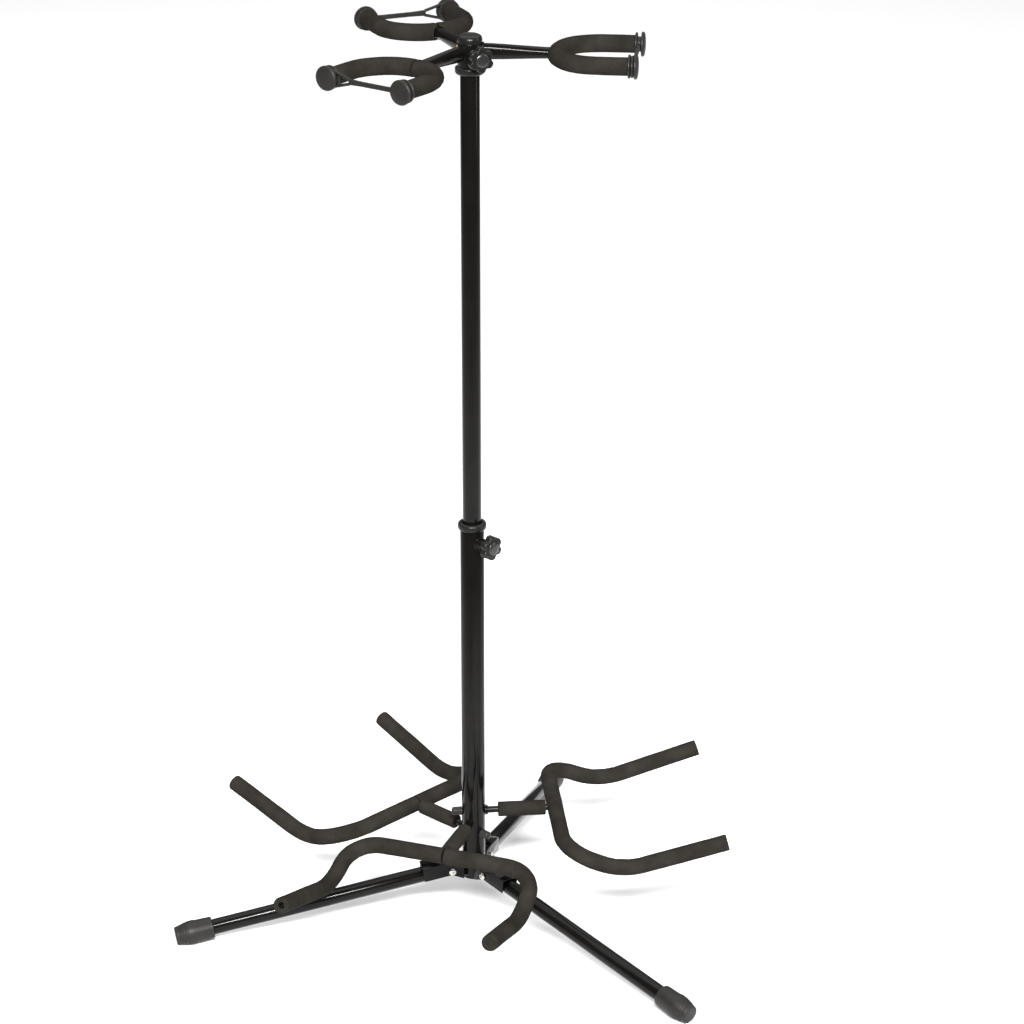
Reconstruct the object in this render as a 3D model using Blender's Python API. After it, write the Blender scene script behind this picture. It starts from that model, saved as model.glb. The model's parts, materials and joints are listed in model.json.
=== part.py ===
"""Floor stand that holds three guitars round one telescopic mast.

Three tube legs fold down from sheet brackets at the foot of the mast. Above them
three padded cradles carry the guitar bodies, and a head that turns on the upper
tube holds the necks in three padded yokes, each closed by a rubber strap.
Every size is in metres. +Z is up, and the feet stand on the plane Z = 0.
"""

import math

import bmesh
import bpy
from mathutils import Matrix, Vector

MM = 0.001

# Clearances
GAP = 0.3 * MM            # between pieces that touch
RUN = 0.45 * MM           # round a rod or bolt that turns in its hole

# Mast
UPPER_OD = 22.0 * MM
UPPER_WALL = 1.2 * MM
UPPER_LENGTH = 652.5 * MM
UPPER_INSERT = 80.0 * MM      # length of upper tube inside the lower tube
LOWER_WALL = 1.5 * MM
LOWER_LENGTH = 452.2 * MM
LOWER_BELOW_LEG = 1.7 * MM    # lower tube past the underside of the leg at its pivot
BUSH_WALL = 0.9 * MM          # plastic between the upper tube and what surrounds it
BUSH_LENGTH = 20.0 * MM       # guide bush at the lower end of the upper tube
RING_LIP = 2.8 * MM           # collar ring outside its tube, below the head and at mid mast
RING_HEIGHT = 9.0 * MM
RING_SLEEVE = 8.0 * MM        # part of a collar that goes inside its tube
PLUG_FLANGE = 2.0 * MM
PLUG_DEPTH = 8.0 * MM

# Clamp knobs
CLAMP_DROP = 15.0 * MM        # from the top of the lower tube to the clamp bolt
CLAMP_AZIMUTH = math.radians(-55.0)
BOLT_OD = 6.0 * MM
BOSS_OD = 14.0 * MM
BOSS_LENGTH = 6.0 * MM
KNOB_OD = 29.5 * MM
KNOB_LOBES = 6
KNOB_LOBE_DEPTH = 2.6 * MM
KNOB_THICKNESS = 9.0 * MM
KNOB_NECK_OD = 13.0 * MM
KNOB_NECK_LENGTH = 6.0 * MM
KNOB_DOME_OD = 16.0 * MM
KNOB_DOME_HEIGHT = 2.4 * MM

# Legs
LEG_TURN = math.radians(63.0)     # azimuth of the first leg
LEG_OD = 19.0 * MM
LEG_WALL = 1.2 * MM
LEG_LENGTH = 336.0 * MM           # from the pivot to the end of the tube
LEG_HEEL = 7.0 * MM               # tube behind the pivot
LEG_SLOPE = math.radians(8.8)
LEG_PIVOT_HEIGHT = 65.0 * MM
LEG_PIVOT_OFFSET = 5.5 * MM       # space between the mast's line and a leg folded down
LEG_SIDE_GAP = 0.6 * MM
PLATE = 2.0 * MM
BRACKET_LENGTH = 35.0 * MM        # from the pivot to the outer end of the bracket
BRACKET_WEB_START = 13.0 * MM     # from the pivot to the web that stops the leg
BRACKET_ABOVE_LEG = 2.5 * MM      # back of the bracket over the top of the leg
BRACKET_LIP = 5.0 * MM            # depth of the plates below the leg's centre line
PIVOT_OD = 5.0 * MM
PIVOT_HEAD_OD = 9.0 * MM
PIVOT_HEAD = 2.6 * MM
PIVOT_NUT_ACROSS = 8.0 * MM
PIVOT_NUT = 4.5 * MM
PIVOT_HEAD_SIDES = (1, 1, -1)     # which side of each leg shows the screw head
FOOT_LENGTH = 46.0 * MM
FOOT_END_WALL = 5.0 * MM
FOOT_MOUTH_WALL = 3.0 * MM
FOOT_BULGE = 5.0 * MM             # rubber at the widest part, outside the tube
FOOT_NOSE_WALL = 1.5 * MM
FOOT_FLAT = 0.8 * MM              # rubber pressed flat by the floor

# Cradles for the guitar bodies
CRADLE_AZIMUTHS = [math.radians(angle) for angle in (-5.0, 126.0, 240.0)]
CRADLE_LEVELS = (2, 0, 1)         # order of the three rods up the mast
CRADLE_LOWEST = 48.0 * MM         # lowest rod above the leg pivots
CRADLE_PITCH = 13.0 * MM
ROD_OD = 8.0 * MM
CRADLE_FOAM_OD = 18.6 * MM
CRADLE_REACH = 99.0 * MM          # mast axis to the cross bar
CRADLE_HALF_WIDTH = 115.0 * MM
CRADLE_TIP_SPREAD = 12.0 * MM     # how far each tip stands outside the corner
CRADLE_DEPTH = 191.0 * MM         # cross bar to tips
CRADLE_DIP_AT = 67.0 * MM         # cross bar to the lowest point of a prong
CRADLE_DIP = 27.0 * MM
CRADLE_TIP_RISE = 9.0 * MM
CRADLE_CORNER_RADIUS = 39.0 * MM
CRADLE_DIP_RADIUS = 80.0 * MM
CRADLE_END_COVER = 3.0 * MM       # foam past the end of the rod
SLEEVE_INNER_GAP = 12.7 * MM      # washer to sleeve
SLEEVE_OUTER_GAP = 2.7 * MM       # sleeve to the foam of the cross bar
WASHER_OD = 13.0 * MM
WASHER_THICKNESS = 3.0 * MM
END_CAP_WALL = 0.85 * MM
END_CAP_LENGTH = 12.0 * MM

# Head and neck yokes
HEAD_TURN = math.radians(-16.7)
HEAD_TUBE_LENGTH = 26.0 * MM
HEAD_CAP_HEIGHT = 9.0 * MM
HEAD_CAP_TOP_OD = 20.0 * MM
HEAD_CAP_PLUG = 5.2 * MM
ARM_BELOW_TOP = 9.3 * MM          # arm axis below the top of the head tube
HEAD_BOLT_BELOW_TOP = 12.5 * MM
ARM_HUB_WIDTH = 10.0 * MM
ARM_HUB_HEIGHT = 18.6 * MM
ARM_END_OD = 12.6 * MM
YOKE_ROD_OD = 9.0 * MM
YOKE_FOAM_OD = 20.7 * MM
YOKE_REACH = 96.5 * MM
YOKE_HALF_WIDTH = 50.5 * MM
YOKE_DEPTH = 82.0 * MM
YOKE_CORNER_RADIUS = 48.0 * MM
YOKE_ROD_STUB = 7.0 * MM          # bare rod past the foam, inside the end cap
SEAM = 2.4 * MM                   # between the two foam sleeves of a U
YOKE_CAP_FLANGE_OD = 26.0 * MM
YOKE_CAP_FLANGE = 2.4 * MM
YOKE_CAP_NECK_OD = 17.0 * MM
YOKE_CAP_NECK = 4.4 * MM
YOKE_CAP_FACE_OD = 27.6 * MM
YOKE_CAP_FACE = 4.6 * MM
STRAP_THICKNESS = 3.4 * MM
STRAP_WIDTH = 5.0 * MM
STRAP_LOOP_LENGTH = 30.0 * MM     # cap centre to the inner end of the slot

# Smoothness
TUBE_SIDES = 20
ROD_SIDES = 8
HOLE_SIDES = 12
FOAM_SIDES = 8
LOBE_SIDES = 4
BEND_STEP = math.radians(18.0)

# Derived sizes
UPPER_R = UPPER_OD / 2
BORE_R = UPPER_R + GAP + BUSH_WALL + GAP      # inside of the lower tube and the head tube
LOWER_R = BORE_R + LOWER_WALL
LEG_R = LEG_OD / 2
LOWER_BOTTOM = LEG_PIVOT_HEIGHT - LEG_R - LOWER_BELOW_LEG
LOWER_TOP = LOWER_BOTTOM + LOWER_LENGTH
UPPER_BOTTOM = LOWER_TOP - UPPER_INSERT
UPPER_TOP = UPPER_BOTTOM + UPPER_LENGTH
HEAD_TUBE_TOP = UPPER_TOP + GAP + HEAD_CAP_PLUG
HEAD_TUBE_BOTTOM = HEAD_TUBE_TOP - HEAD_TUBE_LENGTH
ARM_HEIGHT = HEAD_TUBE_TOP - ARM_BELOW_TOP
BRACKET_TOP = LEG_PIVOT_HEIGHT + LEG_R + BRACKET_ABOVE_LEG
LEG_PIVOT_RADIUS = LOWER_R + LEG_R + LEG_PIVOT_OFFSET
BRACKET_HALF_GAP = LEG_R + LEG_SIDE_GAP
BRACKET_HALF_WIDTH = BRACKET_HALF_GAP + PLATE
CRADLE_FOAM_R = CRADLE_FOAM_OD / 2
YOKE_FOAM_R = YOKE_FOAM_OD / 2


# ---------------------------------------------------------------- scene helpers

def clear_scene():
    """Remove every object, mesh and material that the file opened with."""
    for thing in list(bpy.data.objects):
        bpy.data.objects.remove(thing, do_unlink=True)
    for block in (bpy.data.meshes, bpy.data.curves, bpy.data.materials):
        for item in list(block):
            block.remove(item)


def make_material(name, colour, roughness, metallic):
    """Return a Principled material with one colour."""
    material = bpy.data.materials.new(name)
    material.use_nodes = True
    shader = material.node_tree.nodes["Principled BSDF"]
    shader.inputs["Base Color"].default_value = (*colour, 1.0)
    shader.inputs["Roughness"].default_value = roughness
    shader.inputs["Metallic"].default_value = metallic
    return material


def make_materials():
    """Return the finishes of the stand by name."""
    return {
        "steel": make_material("black_enamelled_steel", (0.014, 0.014, 0.013), 0.28, 0.0),
        "foam": make_material("black_eva_foam", (0.030, 0.029, 0.026), 0.9, 0.0),
        "rubber": make_material("black_rubber", (0.022, 0.021, 0.020), 0.65, 0.0),
        "plastic": make_material("black_moulded_nylon", (0.020, 0.020, 0.019), 0.5, 0.0),
        "zinc": make_material("zinc_plated_steel", (0.75, 0.74, 0.71), 0.3, 1.0),
    }


def add_empty(name, parent, location=(0, 0, 0), rotation=(0, 0, 0)):
    """Add an empty that its child pieces are placed from."""
    empty = bpy.data.objects.new(name, None)
    empty.empty_display_size = 0.02
    bpy.context.collection.objects.link(empty)
    empty.parent = parent
    empty.location = location
    empty.rotation_euler = rotation
    return empty


def add_piece(name, mesh, parent, material=None, location=(0, 0, 0), rotation=(0, 0, 0)):
    """Link a mesh as a named piece under its parent and shade it smooth."""
    piece = bpy.data.objects.new(name, mesh)
    bpy.context.collection.objects.link(piece)
    piece.parent = parent
    piece.location = location
    piece.rotation_euler = rotation
    if material:
        mesh.materials.append(material)
    mesh.shade_smooth()
    mesh.set_sharp_from_angle(angle=math.radians(35))
    return piece


def combine(piece, mesh, operation, location=(0, 0, 0), rotation=(0, 0, 0), parent=None):
    """Cut a mesh from a piece, or unite the two; the mesh is placed from its parent."""
    tool = add_piece(f"{piece.name}.tool", mesh, parent or piece, None, location, rotation)
    tool.hide_render = True
    tool.display_type = "WIRE"
    boolean = piece.modifiers.new(tool.name, "BOOLEAN")
    boolean.operation = operation
    boolean.object = tool


# ----------------------------------------------------------------- mesh helpers

def mesh_from_rings(name, rings, closed=False):
    """Skin closed rings of points one after another, with flat ends if not closed."""
    form = bmesh.new()
    loops = [[form.verts.new(point) for point in ring] for ring in rings]
    count = len(loops[0])
    pairs = list(zip(loops, loops[1:]))
    if closed:
        pairs.append((loops[-1], loops[0]))
    else:
        form.faces.new(reversed(loops[0]))
        form.faces.new(loops[-1])
    for first, second in pairs:
        for index in range(count):
            after = (index + 1) % count
            form.faces.new((first[index], first[after], second[after], second[index]))
    bmesh.ops.recalc_face_normals(form, faces=form.faces)
    mesh = bpy.data.meshes.new(name)
    form.to_mesh(mesh)
    form.free()
    return mesh


def ring_at(centre, side, up, half_width, half_height, sides):
    """Return an oval ring of points round a centre."""
    points = []
    for index in range(sides):
        angle = 2 * math.pi * (index + 0.5) / sides
        across = side * (half_width * math.cos(angle))
        points.append(centre + across + up * (half_height * math.sin(angle)))
    return points


def frames_along(path):
    """Yield each point of a path with two directions square to it."""
    up = Vector((0, 0, 1))
    for index, point in enumerate(path):
        before = path[max(index - 1, 0)]
        after = path[min(index + 1, len(path) - 1)]
        tangent = (after - before).normalized()
        side = up.cross(tangent).normalized()
        yield point, side, tangent.cross(side).normalized()


def rod_mesh(name, path, radius, sides):
    """Return a solid round rod along a path."""
    rings = [ring_at(point, side, up, radius, radius, sides)
             for point, side, up in frames_along(path)]
    return mesh_from_rings(name, rings)


def sleeve_mesh(name, path, outer, inner, sides):
    """Return a hollow sleeve along a path, open at both ends."""
    frames = list(frames_along(path))
    outside = [ring_at(point, side, up, outer, outer, sides) for point, side, up in frames]
    inside = [ring_at(point, side, up, inner, inner, sides) for point, side, up in frames]
    return mesh_from_rings(name, outside + inside[::-1], closed=True)


def turned_mesh(name, profile, sides):
    """Spin a closed profile of (radius, height) points about the Z axis."""
    rings = []
    for index in range(sides):
        turn = Matrix.Rotation(2 * math.pi * (index + 0.5) / sides, 4, "Z")
        rings.append([turn @ Vector((radius, 0, height)) for radius, height in profile])
    return mesh_from_rings(name, rings, closed=True)


def solid_turned_mesh(name, profile, sides):
    """Spin an open profile that runs up from the axis and back to it."""
    rings = []
    for radius, height in profile:
        centre = Vector((0, 0, height))
        rings.append(ring_at(centre, Vector((1, 0, 0)), Vector((0, 1, 0)), radius, radius, sides))
    return mesh_from_rings(name, rings)


def pipe_mesh(name, outer, inner, start, end, sides):
    """Return a pipe along Z from one height to another."""
    profile = ((outer, end), (outer, start), (inner, start), (inner, end))
    return turned_mesh(name, profile, sides)


def cylinder_mesh(name, radius, start, end, sides):
    """Return a cylinder along Z from one height to another."""
    return solid_turned_mesh(name, ((radius, start), (radius, end)), sides)


def box_mesh(name, low, high):
    """Return a box between two corners."""
    outline = ((low[0], low[1]), (high[0], low[1]), (high[0], high[1]), (low[0], high[1]))
    rings = [[Vector((x, y, z)) for x, y in outline] for z in (low[2], high[2])]
    return mesh_from_rings(name, rings)


def prism_mesh(name, outline, half_width):
    """Extrude an outline of (x, z) points to both sides along Y."""
    rings = [[Vector((x, y, z)) for x, z in outline] for y in (-half_width, half_width)]
    return mesh_from_rings(name, rings)


def bent_path(corners, radii):
    """Return the points of a rod bent at its corners, each with its bend radius."""
    corners = [Vector(corner) for corner in corners]
    path = [corners[0]]
    for before, corner, after, radius in zip(corners, corners[1:], corners[2:], radii):
        back = (before - corner).normalized()
        ahead = (after - corner).normalized()
        half = back.angle(ahead) / 2
        middle = corner + (back + ahead).normalized() * (radius / math.sin(half))
        start = corner + back * (radius / math.tan(half)) - middle
        axis = back.cross(start).normalized()
        turn = math.pi - 2 * half
        steps = max(2, math.ceil(turn / BEND_STEP))
        for step in range(steps + 1):
            path.append(middle + Matrix.Rotation(turn * step / steps, 3, axis) @ start)
    path.append(corners[-1])
    return path


def shortened(path, length):
    """Return a path with its last straight run cut back by a length."""
    back = (path[-2] - path[-1]).normalized()
    return path[:-1] + [path[-1] + back * length]


def mirrored(path):
    """Return a path on the other side of the XZ plane."""
    return [Vector((point.x, -point.y, point.z)) for point in path]


# ------------------------------------------------------------------------- mast

def build_lower_tube(stand, finish):
    """Outer mast tube, cross-drilled for the cradle rods and the clamp bolt."""
    tube = pipe_mesh("lower_tube", LOWER_R, BORE_R, LOWER_BOTTOM, LOWER_TOP, TUBE_SIDES)
    tube = add_piece("lower_tube", tube, stand, finish["steel"])
    for azimuth, height in zip(CRADLE_AZIMUTHS, cradle_heights()):
        drill = cylinder_mesh("rod_drill", ROD_OD / 2 + RUN, -2 * LOWER_R, 2 * LOWER_R, HOLE_SIDES)
        combine(tube, drill, "DIFFERENCE", (0, 0, height), (0, math.pi / 2, azimuth))
    drill = cylinder_mesh("bolt_drill", BOLT_OD / 2 + RUN, 0, 2 * LOWER_R, HOLE_SIDES)
    height = LOWER_TOP - CLAMP_DROP
    combine(tube, drill, "DIFFERENCE", (0, 0, height), (0, math.pi / 2, CLAMP_AZIMUTH))


def build_tube_plug(stand, finish):
    """Moulded plug that closes the bottom of the mast."""
    seat = LOWER_BOTTOM - GAP
    radius = BORE_R - GAP
    profile = (
        (LOWER_R - 1 * MM, seat - PLUG_FLANGE),
        (LOWER_R, seat - PLUG_FLANGE + 1 * MM),
        (LOWER_R, seat),
        (radius, seat),
        (radius, seat + PLUG_DEPTH),
    )
    mesh = solid_turned_mesh("tube_plug", profile, TUBE_SIDES)
    add_piece("tube_plug", mesh, stand, finish["plastic"])


def collar_mesh(name, bore):
    """Collar ring with a sleeve below it, its seat on the tube at height 0."""
    sleeve = BORE_R - GAP
    ring = LOWER_R + RING_LIP
    profile = (
        (bore, -RING_SLEEVE),
        (sleeve, -RING_SLEEVE),
        (sleeve, GAP),
        (LOWER_R, GAP),
        (ring, GAP + 0.25 * RING_HEIGHT),
        (ring, GAP + 0.70 * RING_HEIGHT),
        (ring - 2 * MM, GAP + RING_HEIGHT),
        (bore + 2 * MM, GAP + RING_HEIGHT),
        (bore, GAP + RING_HEIGHT - 2 * MM),
    )
    return turned_mesh(name, profile[::-1], TUBE_SIDES)


def build_collar(stand, finish):
    """Collar that guides the upper tube at the mouth of the lower tube."""
    mesh = collar_mesh("collar_bushing", UPPER_R + GAP)
    add_piece("collar_bushing", mesh, stand, finish["plastic"], (0, 0, LOWER_TOP))


def build_upper_tube(upper, finish):
    """Inner mast tube and the guide bush on its lower end."""
    bottom = -UPPER_INSERT
    top = bottom + UPPER_LENGTH
    inside = UPPER_R - UPPER_WALL
    tube = pipe_mesh("upper_tube", UPPER_R, inside, bottom, top, TUBE_SIDES)
    add_piece("upper_tube", tube, upper, finish["steel"])
    outside = BORE_R - GAP
    seat = bottom - GAP
    bush = (
        (UPPER_R + GAP, seat + BUSH_LENGTH),
        (outside, seat + BUSH_LENGTH),
        (outside, seat - 2 * MM),
        (inside, seat - 2 * MM),
        (inside, seat),
        (UPPER_R + GAP, seat),
    )
    add_piece("guide_bush", turned_mesh("guide_bush", bush, TUBE_SIDES), upper, finish["plastic"])


# ------------------------------------------------------------------ clamp knobs

def knob_outline(height, shrink):
    """Return one lobed ring of a star knob."""
    points = []
    steps = KNOB_LOBES * LOBE_SIDES
    for step in range(steps):
        angle = 2 * math.pi * step / steps
        wave = (1 - math.cos(KNOB_LOBES * angle)) / 2
        radius = KNOB_OD / 2 - shrink - KNOB_LOBE_DEPTH * wave ** 2
        points.append(Vector((radius * math.cos(angle), radius * math.sin(angle), height)))
    return points


def round_ring(radius, height, sides):
    """Return a level circle of points that starts on the X axis."""
    angles = [2 * math.pi * index / sides for index in range(sides)]
    return [Vector((radius * math.cos(angle), radius * math.sin(angle), height)) for angle in angles]


def knob_mesh(name, start):
    """Star knob along +Z, its neck starting at a height."""
    sides = KNOB_LOBES * LOBE_SIDES
    back = start + KNOB_NECK_LENGTH
    front = back + KNOB_THICKNESS
    neck = KNOB_NECK_OD / 2
    dome = KNOB_DOME_OD / 2
    bevel = 1.2 * MM
    rings = [
        round_ring(neck, start, sides),
        round_ring(neck, back, sides),
        knob_outline(back, bevel),
        knob_outline(back + bevel, 0),
        knob_outline(front - bevel, 0),
        knob_outline(front, bevel),
        round_ring(dome, front, sides),
        round_ring(dome * 0.9, front + KNOB_DOME_HEIGHT * 0.6, sides),
        round_ring(dome * 0.5, front + KNOB_DOME_HEIGHT, sides),
    ]
    return mesh_from_rings(name, rings)


def build_clamp(prefix, base, height, azimuth, finish):
    """Weld boss, clamp bolt and star knob that press on the upper tube."""
    facing = (0, math.pi / 2, azimuth)
    boss = cylinder_mesh(f"{prefix}_boss", BOSS_OD / 2, BORE_R, LOWER_R + BOSS_LENGTH, TUBE_SIDES)
    piece = add_piece(f"{prefix}_boss", boss, base, finish["steel"], (0, 0, height), facing)
    bore = cylinder_mesh("boss_bore", BOLT_OD / 2 + RUN, 0, 2 * LOWER_R + BOSS_LENGTH, HOLE_SIDES)
    combine(piece, bore, "DIFFERENCE")
    mast = cylinder_mesh("boss_seat", LOWER_R + GAP, -BOSS_OD, BOSS_OD, TUBE_SIDES)
    combine(piece, mast, "DIFFERENCE", rotation=(0, math.pi / 2, 0))
    axis = add_empty(f"{prefix}_knob_axis", base, (0, 0, height), facing)
    start = LOWER_R + BOSS_LENGTH + GAP
    end = start + KNOB_NECK_LENGTH + 0.6 * KNOB_THICKNESS
    knob = knob_mesh(f"{prefix}_knob", start)
    piece = add_piece(f"{prefix}_knob", knob, axis, finish["plastic"])
    socket = cylinder_mesh("knob_socket", BOLT_OD / 2 + GAP, 0, end + GAP, HOLE_SIDES)
    combine(piece, socket, "DIFFERENCE")
    bolt = cylinder_mesh(f"{prefix}_bolt", BOLT_OD / 2, UPPER_R + GAP, end, HOLE_SIDES)
    add_piece(f"{prefix}_bolt", bolt, axis, finish["zinc"])


# ------------------------------------------------------------------------- legs

def on_leg(along, across):
    """Return (x, z) of a point given along and square to a leg from its pivot."""
    x = LEG_PIVOT_RADIUS + along * math.cos(LEG_SLOPE) + across * math.sin(LEG_SLOPE)
    z = LEG_PIVOT_HEIGHT - along * math.sin(LEG_SLOPE) + across * math.cos(LEG_SLOPE)
    return x, z


def build_bracket(name, stand, azimuth, finish):
    """Folded sheet bracket: two plates, a back against the mast and a web over the leg."""
    back = LOWER_R + GAP
    over = LEG_R + GAP
    outline = (
        (back, LOWER_BOTTOM),
        on_leg(1 * MM, -BRACKET_LIP),
        on_leg(BRACKET_LENGTH, -BRACKET_LIP),
        on_leg(BRACKET_LENGTH, over + PLATE),
        on_leg(0, over + PLATE),
        (back, BRACKET_TOP),
    )
    bracket = add_piece(name, prism_mesh(name, outline, BRACKET_HALF_WIDTH), stand, finish["steel"],
                        rotation=(0, 0, azimuth))
    wide = BRACKET_LENGTH + LEG_OD
    pocket = (
        (back + PLATE, 0),
        (LEG_PIVOT_RADIUS + wide, 0),
        on_leg(wide, over),
        on_leg(BRACKET_WEB_START, over),
        on_leg(BRACKET_WEB_START, over + LEG_OD),
        (back + PLATE, BRACKET_TOP + LEG_OD),
    )
    combine(bracket, prism_mesh("bracket_pocket", pocket, BRACKET_HALF_GAP), "DIFFERENCE")
    drill = cylinder_mesh("pivot_drill", PIVOT_OD / 2 + RUN, -LEG_OD, LEG_OD, HOLE_SIDES)
    place = (LEG_PIVOT_RADIUS, 0, LEG_PIVOT_HEIGHT)
    combine(bracket, drill, "DIFFERENCE", place, (math.pi / 2, 0, 0))


def pivot_bolt_mesh(name):
    """Pan-head bolt along Z with its lock nut, centred on the leg."""
    outside = BRACKET_HALF_WIDTH + GAP
    head = PIVOT_HEAD_OD / 2
    nut = PIVOT_NUT_ACROSS / math.sqrt(3)
    shank = PIVOT_OD / 2
    profile = (
        (shank, -outside - PIVOT_NUT - 1 * MM),
        (shank, -outside - PIVOT_NUT),
        (nut, -outside - PIVOT_NUT),
        (nut, -outside),
        (shank, -outside),
        (shank, outside),
        (head, outside),
        (head, outside + 0.45 * PIVOT_HEAD),
        (0.6 * head, outside + PIVOT_HEAD),
    )
    return solid_turned_mesh(name, profile, 12)


def build_pivot_bolt(name, stand, azimuth, side, finish):
    """Bolt and lock nut through a bracket and its leg."""
    place = Matrix.Rotation(azimuth, 4, "Z") @ Vector((LEG_PIVOT_RADIUS, 0, LEG_PIVOT_HEIGHT))
    turn = (-side * math.pi / 2, 0, azimuth)
    add_piece(name, pivot_bolt_mesh(name), stand, finish["zinc"], place, turn)


def build_leg(number, stand, azimuth, finish):
    """Leg tube with its rubber foot, on an empty at the pivot with X along the leg."""
    place = Matrix.Rotation(azimuth, 4, "Z") @ Vector((LEG_PIVOT_RADIUS, 0, LEG_PIVOT_HEIGHT))
    pivot = add_empty(f"leg_{number}_pivot", stand, place, (0, LEG_SLOPE, azimuth))
    along = (0, math.pi / 2, 0)
    tube = pipe_mesh(f"leg_tube_{number}", LEG_R, LEG_R - LEG_WALL, -LEG_HEEL, LEG_LENGTH, HOLE_SIDES)
    tube = add_piece(f"leg_tube_{number}", tube, pivot, finish["steel"], rotation=along)
    drill = cylinder_mesh("leg_drill", PIVOT_OD / 2 + RUN, -LEG_OD, LEG_OD, HOLE_SIDES)
    combine(tube, drill, "DIFFERENCE", rotation=(math.pi / 2, 0, 0))
    end = LEG_LENGTH + GAP + FOOT_END_WALL
    start = end - FOOT_LENGTH
    bore = LEG_R + GAP
    nose = LEG_R + FOOT_NOSE_WALL
    bulge = LEG_R + FOOT_BULGE
    profile = (
        (nose - 2 * MM, end),
        (nose, end - 2 * MM),
        (bulge, start + 0.62 * FOOT_LENGTH),
        (bulge, start + 0.50 * FOOT_LENGTH),
        (LEG_R + FOOT_MOUTH_WALL, start),
        (bore, start),
        (bore, LEG_LENGTH + GAP),
    )
    mesh = solid_turned_mesh(f"foot_{number}", profile, HOLE_SIDES)
    foot = add_piece(f"foot_{number}", mesh, pivot, finish["rubber"], rotation=along)
    size = LEG_LENGTH + 2 * FOOT_LENGTH
    ground = box_mesh("ground", (0, -FOOT_LENGTH, -FOOT_LENGTH), (size, FOOT_LENGTH, 0))
    combine(foot, ground, "DIFFERENCE", (0, 0, foot_ground_level()), (0, 0, azimuth), stand)


def foot_ground_level():
    """Return the height of the floor that presses the round feet flat."""
    widest = LEG_LENGTH + GAP + FOOT_END_WALL - 0.38 * FOOT_LENGTH
    lowest = on_leg(widest, -LEG_R - FOOT_BULGE)[1]
    return lowest + FOOT_FLAT


def build_legs(stand, finish):
    """Three brackets, bolts, legs and feet, evenly round the mast."""
    for index in range(3):
        azimuth = LEG_TURN + index * math.tau / 3
        number = index + 1
        build_bracket(f"leg_bracket_{number}", stand, azimuth, finish)
        build_pivot_bolt(f"leg_pivot_bolt_{number}", stand, azimuth, PIVOT_HEAD_SIDES[index], finish)
        build_leg(number, stand, azimuth, finish)


# --------------------------------------------------------------------- cradles

def cradle_heights():
    """Return the height of each cradle's rod."""
    lowest = LEG_PIVOT_HEIGHT + CRADLE_LOWEST
    return [lowest + level * CRADLE_PITCH for level in CRADLE_LEVELS]


def cradle_path():
    """Return half of the cradle's U, from the middle of the cross bar to the tip."""
    corner = (CRADLE_REACH, CRADLE_HALF_WIDTH, 0)
    spread = CRADLE_TIP_SPREAD * CRADLE_DIP_AT / CRADLE_DEPTH
    dip = (CRADLE_REACH + CRADLE_DIP_AT, CRADLE_HALF_WIDTH + spread, -CRADLE_DIP)
    tip = (CRADLE_REACH + CRADLE_DEPTH, CRADLE_HALF_WIDTH + CRADLE_TIP_SPREAD, CRADLE_TIP_RISE)
    middle = (CRADLE_REACH, SEAM / 2, 0)
    return bent_path((middle, corner, dip, tip), (CRADLE_CORNER_RADIUS, CRADLE_DIP_RADIUS))


def build_cradle(number, stand, azimuth, height, finish):
    """Bent rod that turns in the mast, with foam sleeves, washer and end cap."""
    axis = add_empty(f"cradle_{number}_axis", stand, (0, 0, height), (0, 0, azimuth))
    outward = (0, math.pi / 2, 0)
    half = cradle_path()
    bare = shortened(half, CRADLE_END_COVER)
    radius = ROD_OD / 2
    hoop = rod_mesh(f"cradle_rod_{number}", mirrored(bare)[::-1] + bare, radius, ROD_SIDES)
    rod = add_piece(f"cradle_rod_{number}", hoop, axis, finish["steel"])
    tail = LOWER_R + GAP + END_CAP_LENGTH - 2 * MM
    stem = cylinder_mesh("stem", radius, -tail, CRADLE_REACH, ROD_SIDES)
    combine(rod, stem, "UNION", rotation=outward)
    bore = radius + RUN
    for side, path in (("left", half), ("right", mirrored(half))):
        name = f"cradle_foam_{number}_{side}"
        mesh = sleeve_mesh(name, path, CRADLE_FOAM_R, bore, FOAM_SIDES)
        foam = add_piece(name, mesh, axis, finish["foam"])
        start = CRADLE_REACH - CRADLE_FOAM_OD
        notch = cylinder_mesh("stem_notch", bore, start, CRADLE_REACH, HOLE_SIDES)
        combine(foam, notch, "DIFFERENCE", rotation=outward)
    inner = LOWER_R + GAP
    outer = inner + WASHER_THICKNESS
    name = f"cradle_washer_{number}"
    washer = pipe_mesh(name, WASHER_OD / 2, bore, inner, outer, HOLE_SIDES)
    add_piece(name, washer, axis, finish["steel"], rotation=outward)
    start = outer + SLEEVE_INNER_GAP
    end = CRADLE_REACH - CRADLE_FOAM_R - SLEEVE_OUTER_GAP
    name = f"cradle_sleeve_{number}"
    sleeve = pipe_mesh(name, CRADLE_FOAM_R, bore, start, end, FOAM_SIDES)
    add_piece(name, sleeve, axis, finish["foam"], rotation=outward)
    inner = -LOWER_R - GAP
    outer = inner - END_CAP_LENGTH
    rim = bore + END_CAP_WALL
    cap = (
        (rim - 1.5 * MM, outer),
        (rim, outer + 1.5 * MM),
        (rim, inner),
        (bore, inner),
        (bore, -tail - GAP),
    )
    name = f"cradle_end_cap_{number}"
    add_piece(name, solid_turned_mesh(name, cap, HOLE_SIDES), axis, finish["rubber"], rotation=outward)


# ------------------------------------------------------------------------- head

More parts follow.
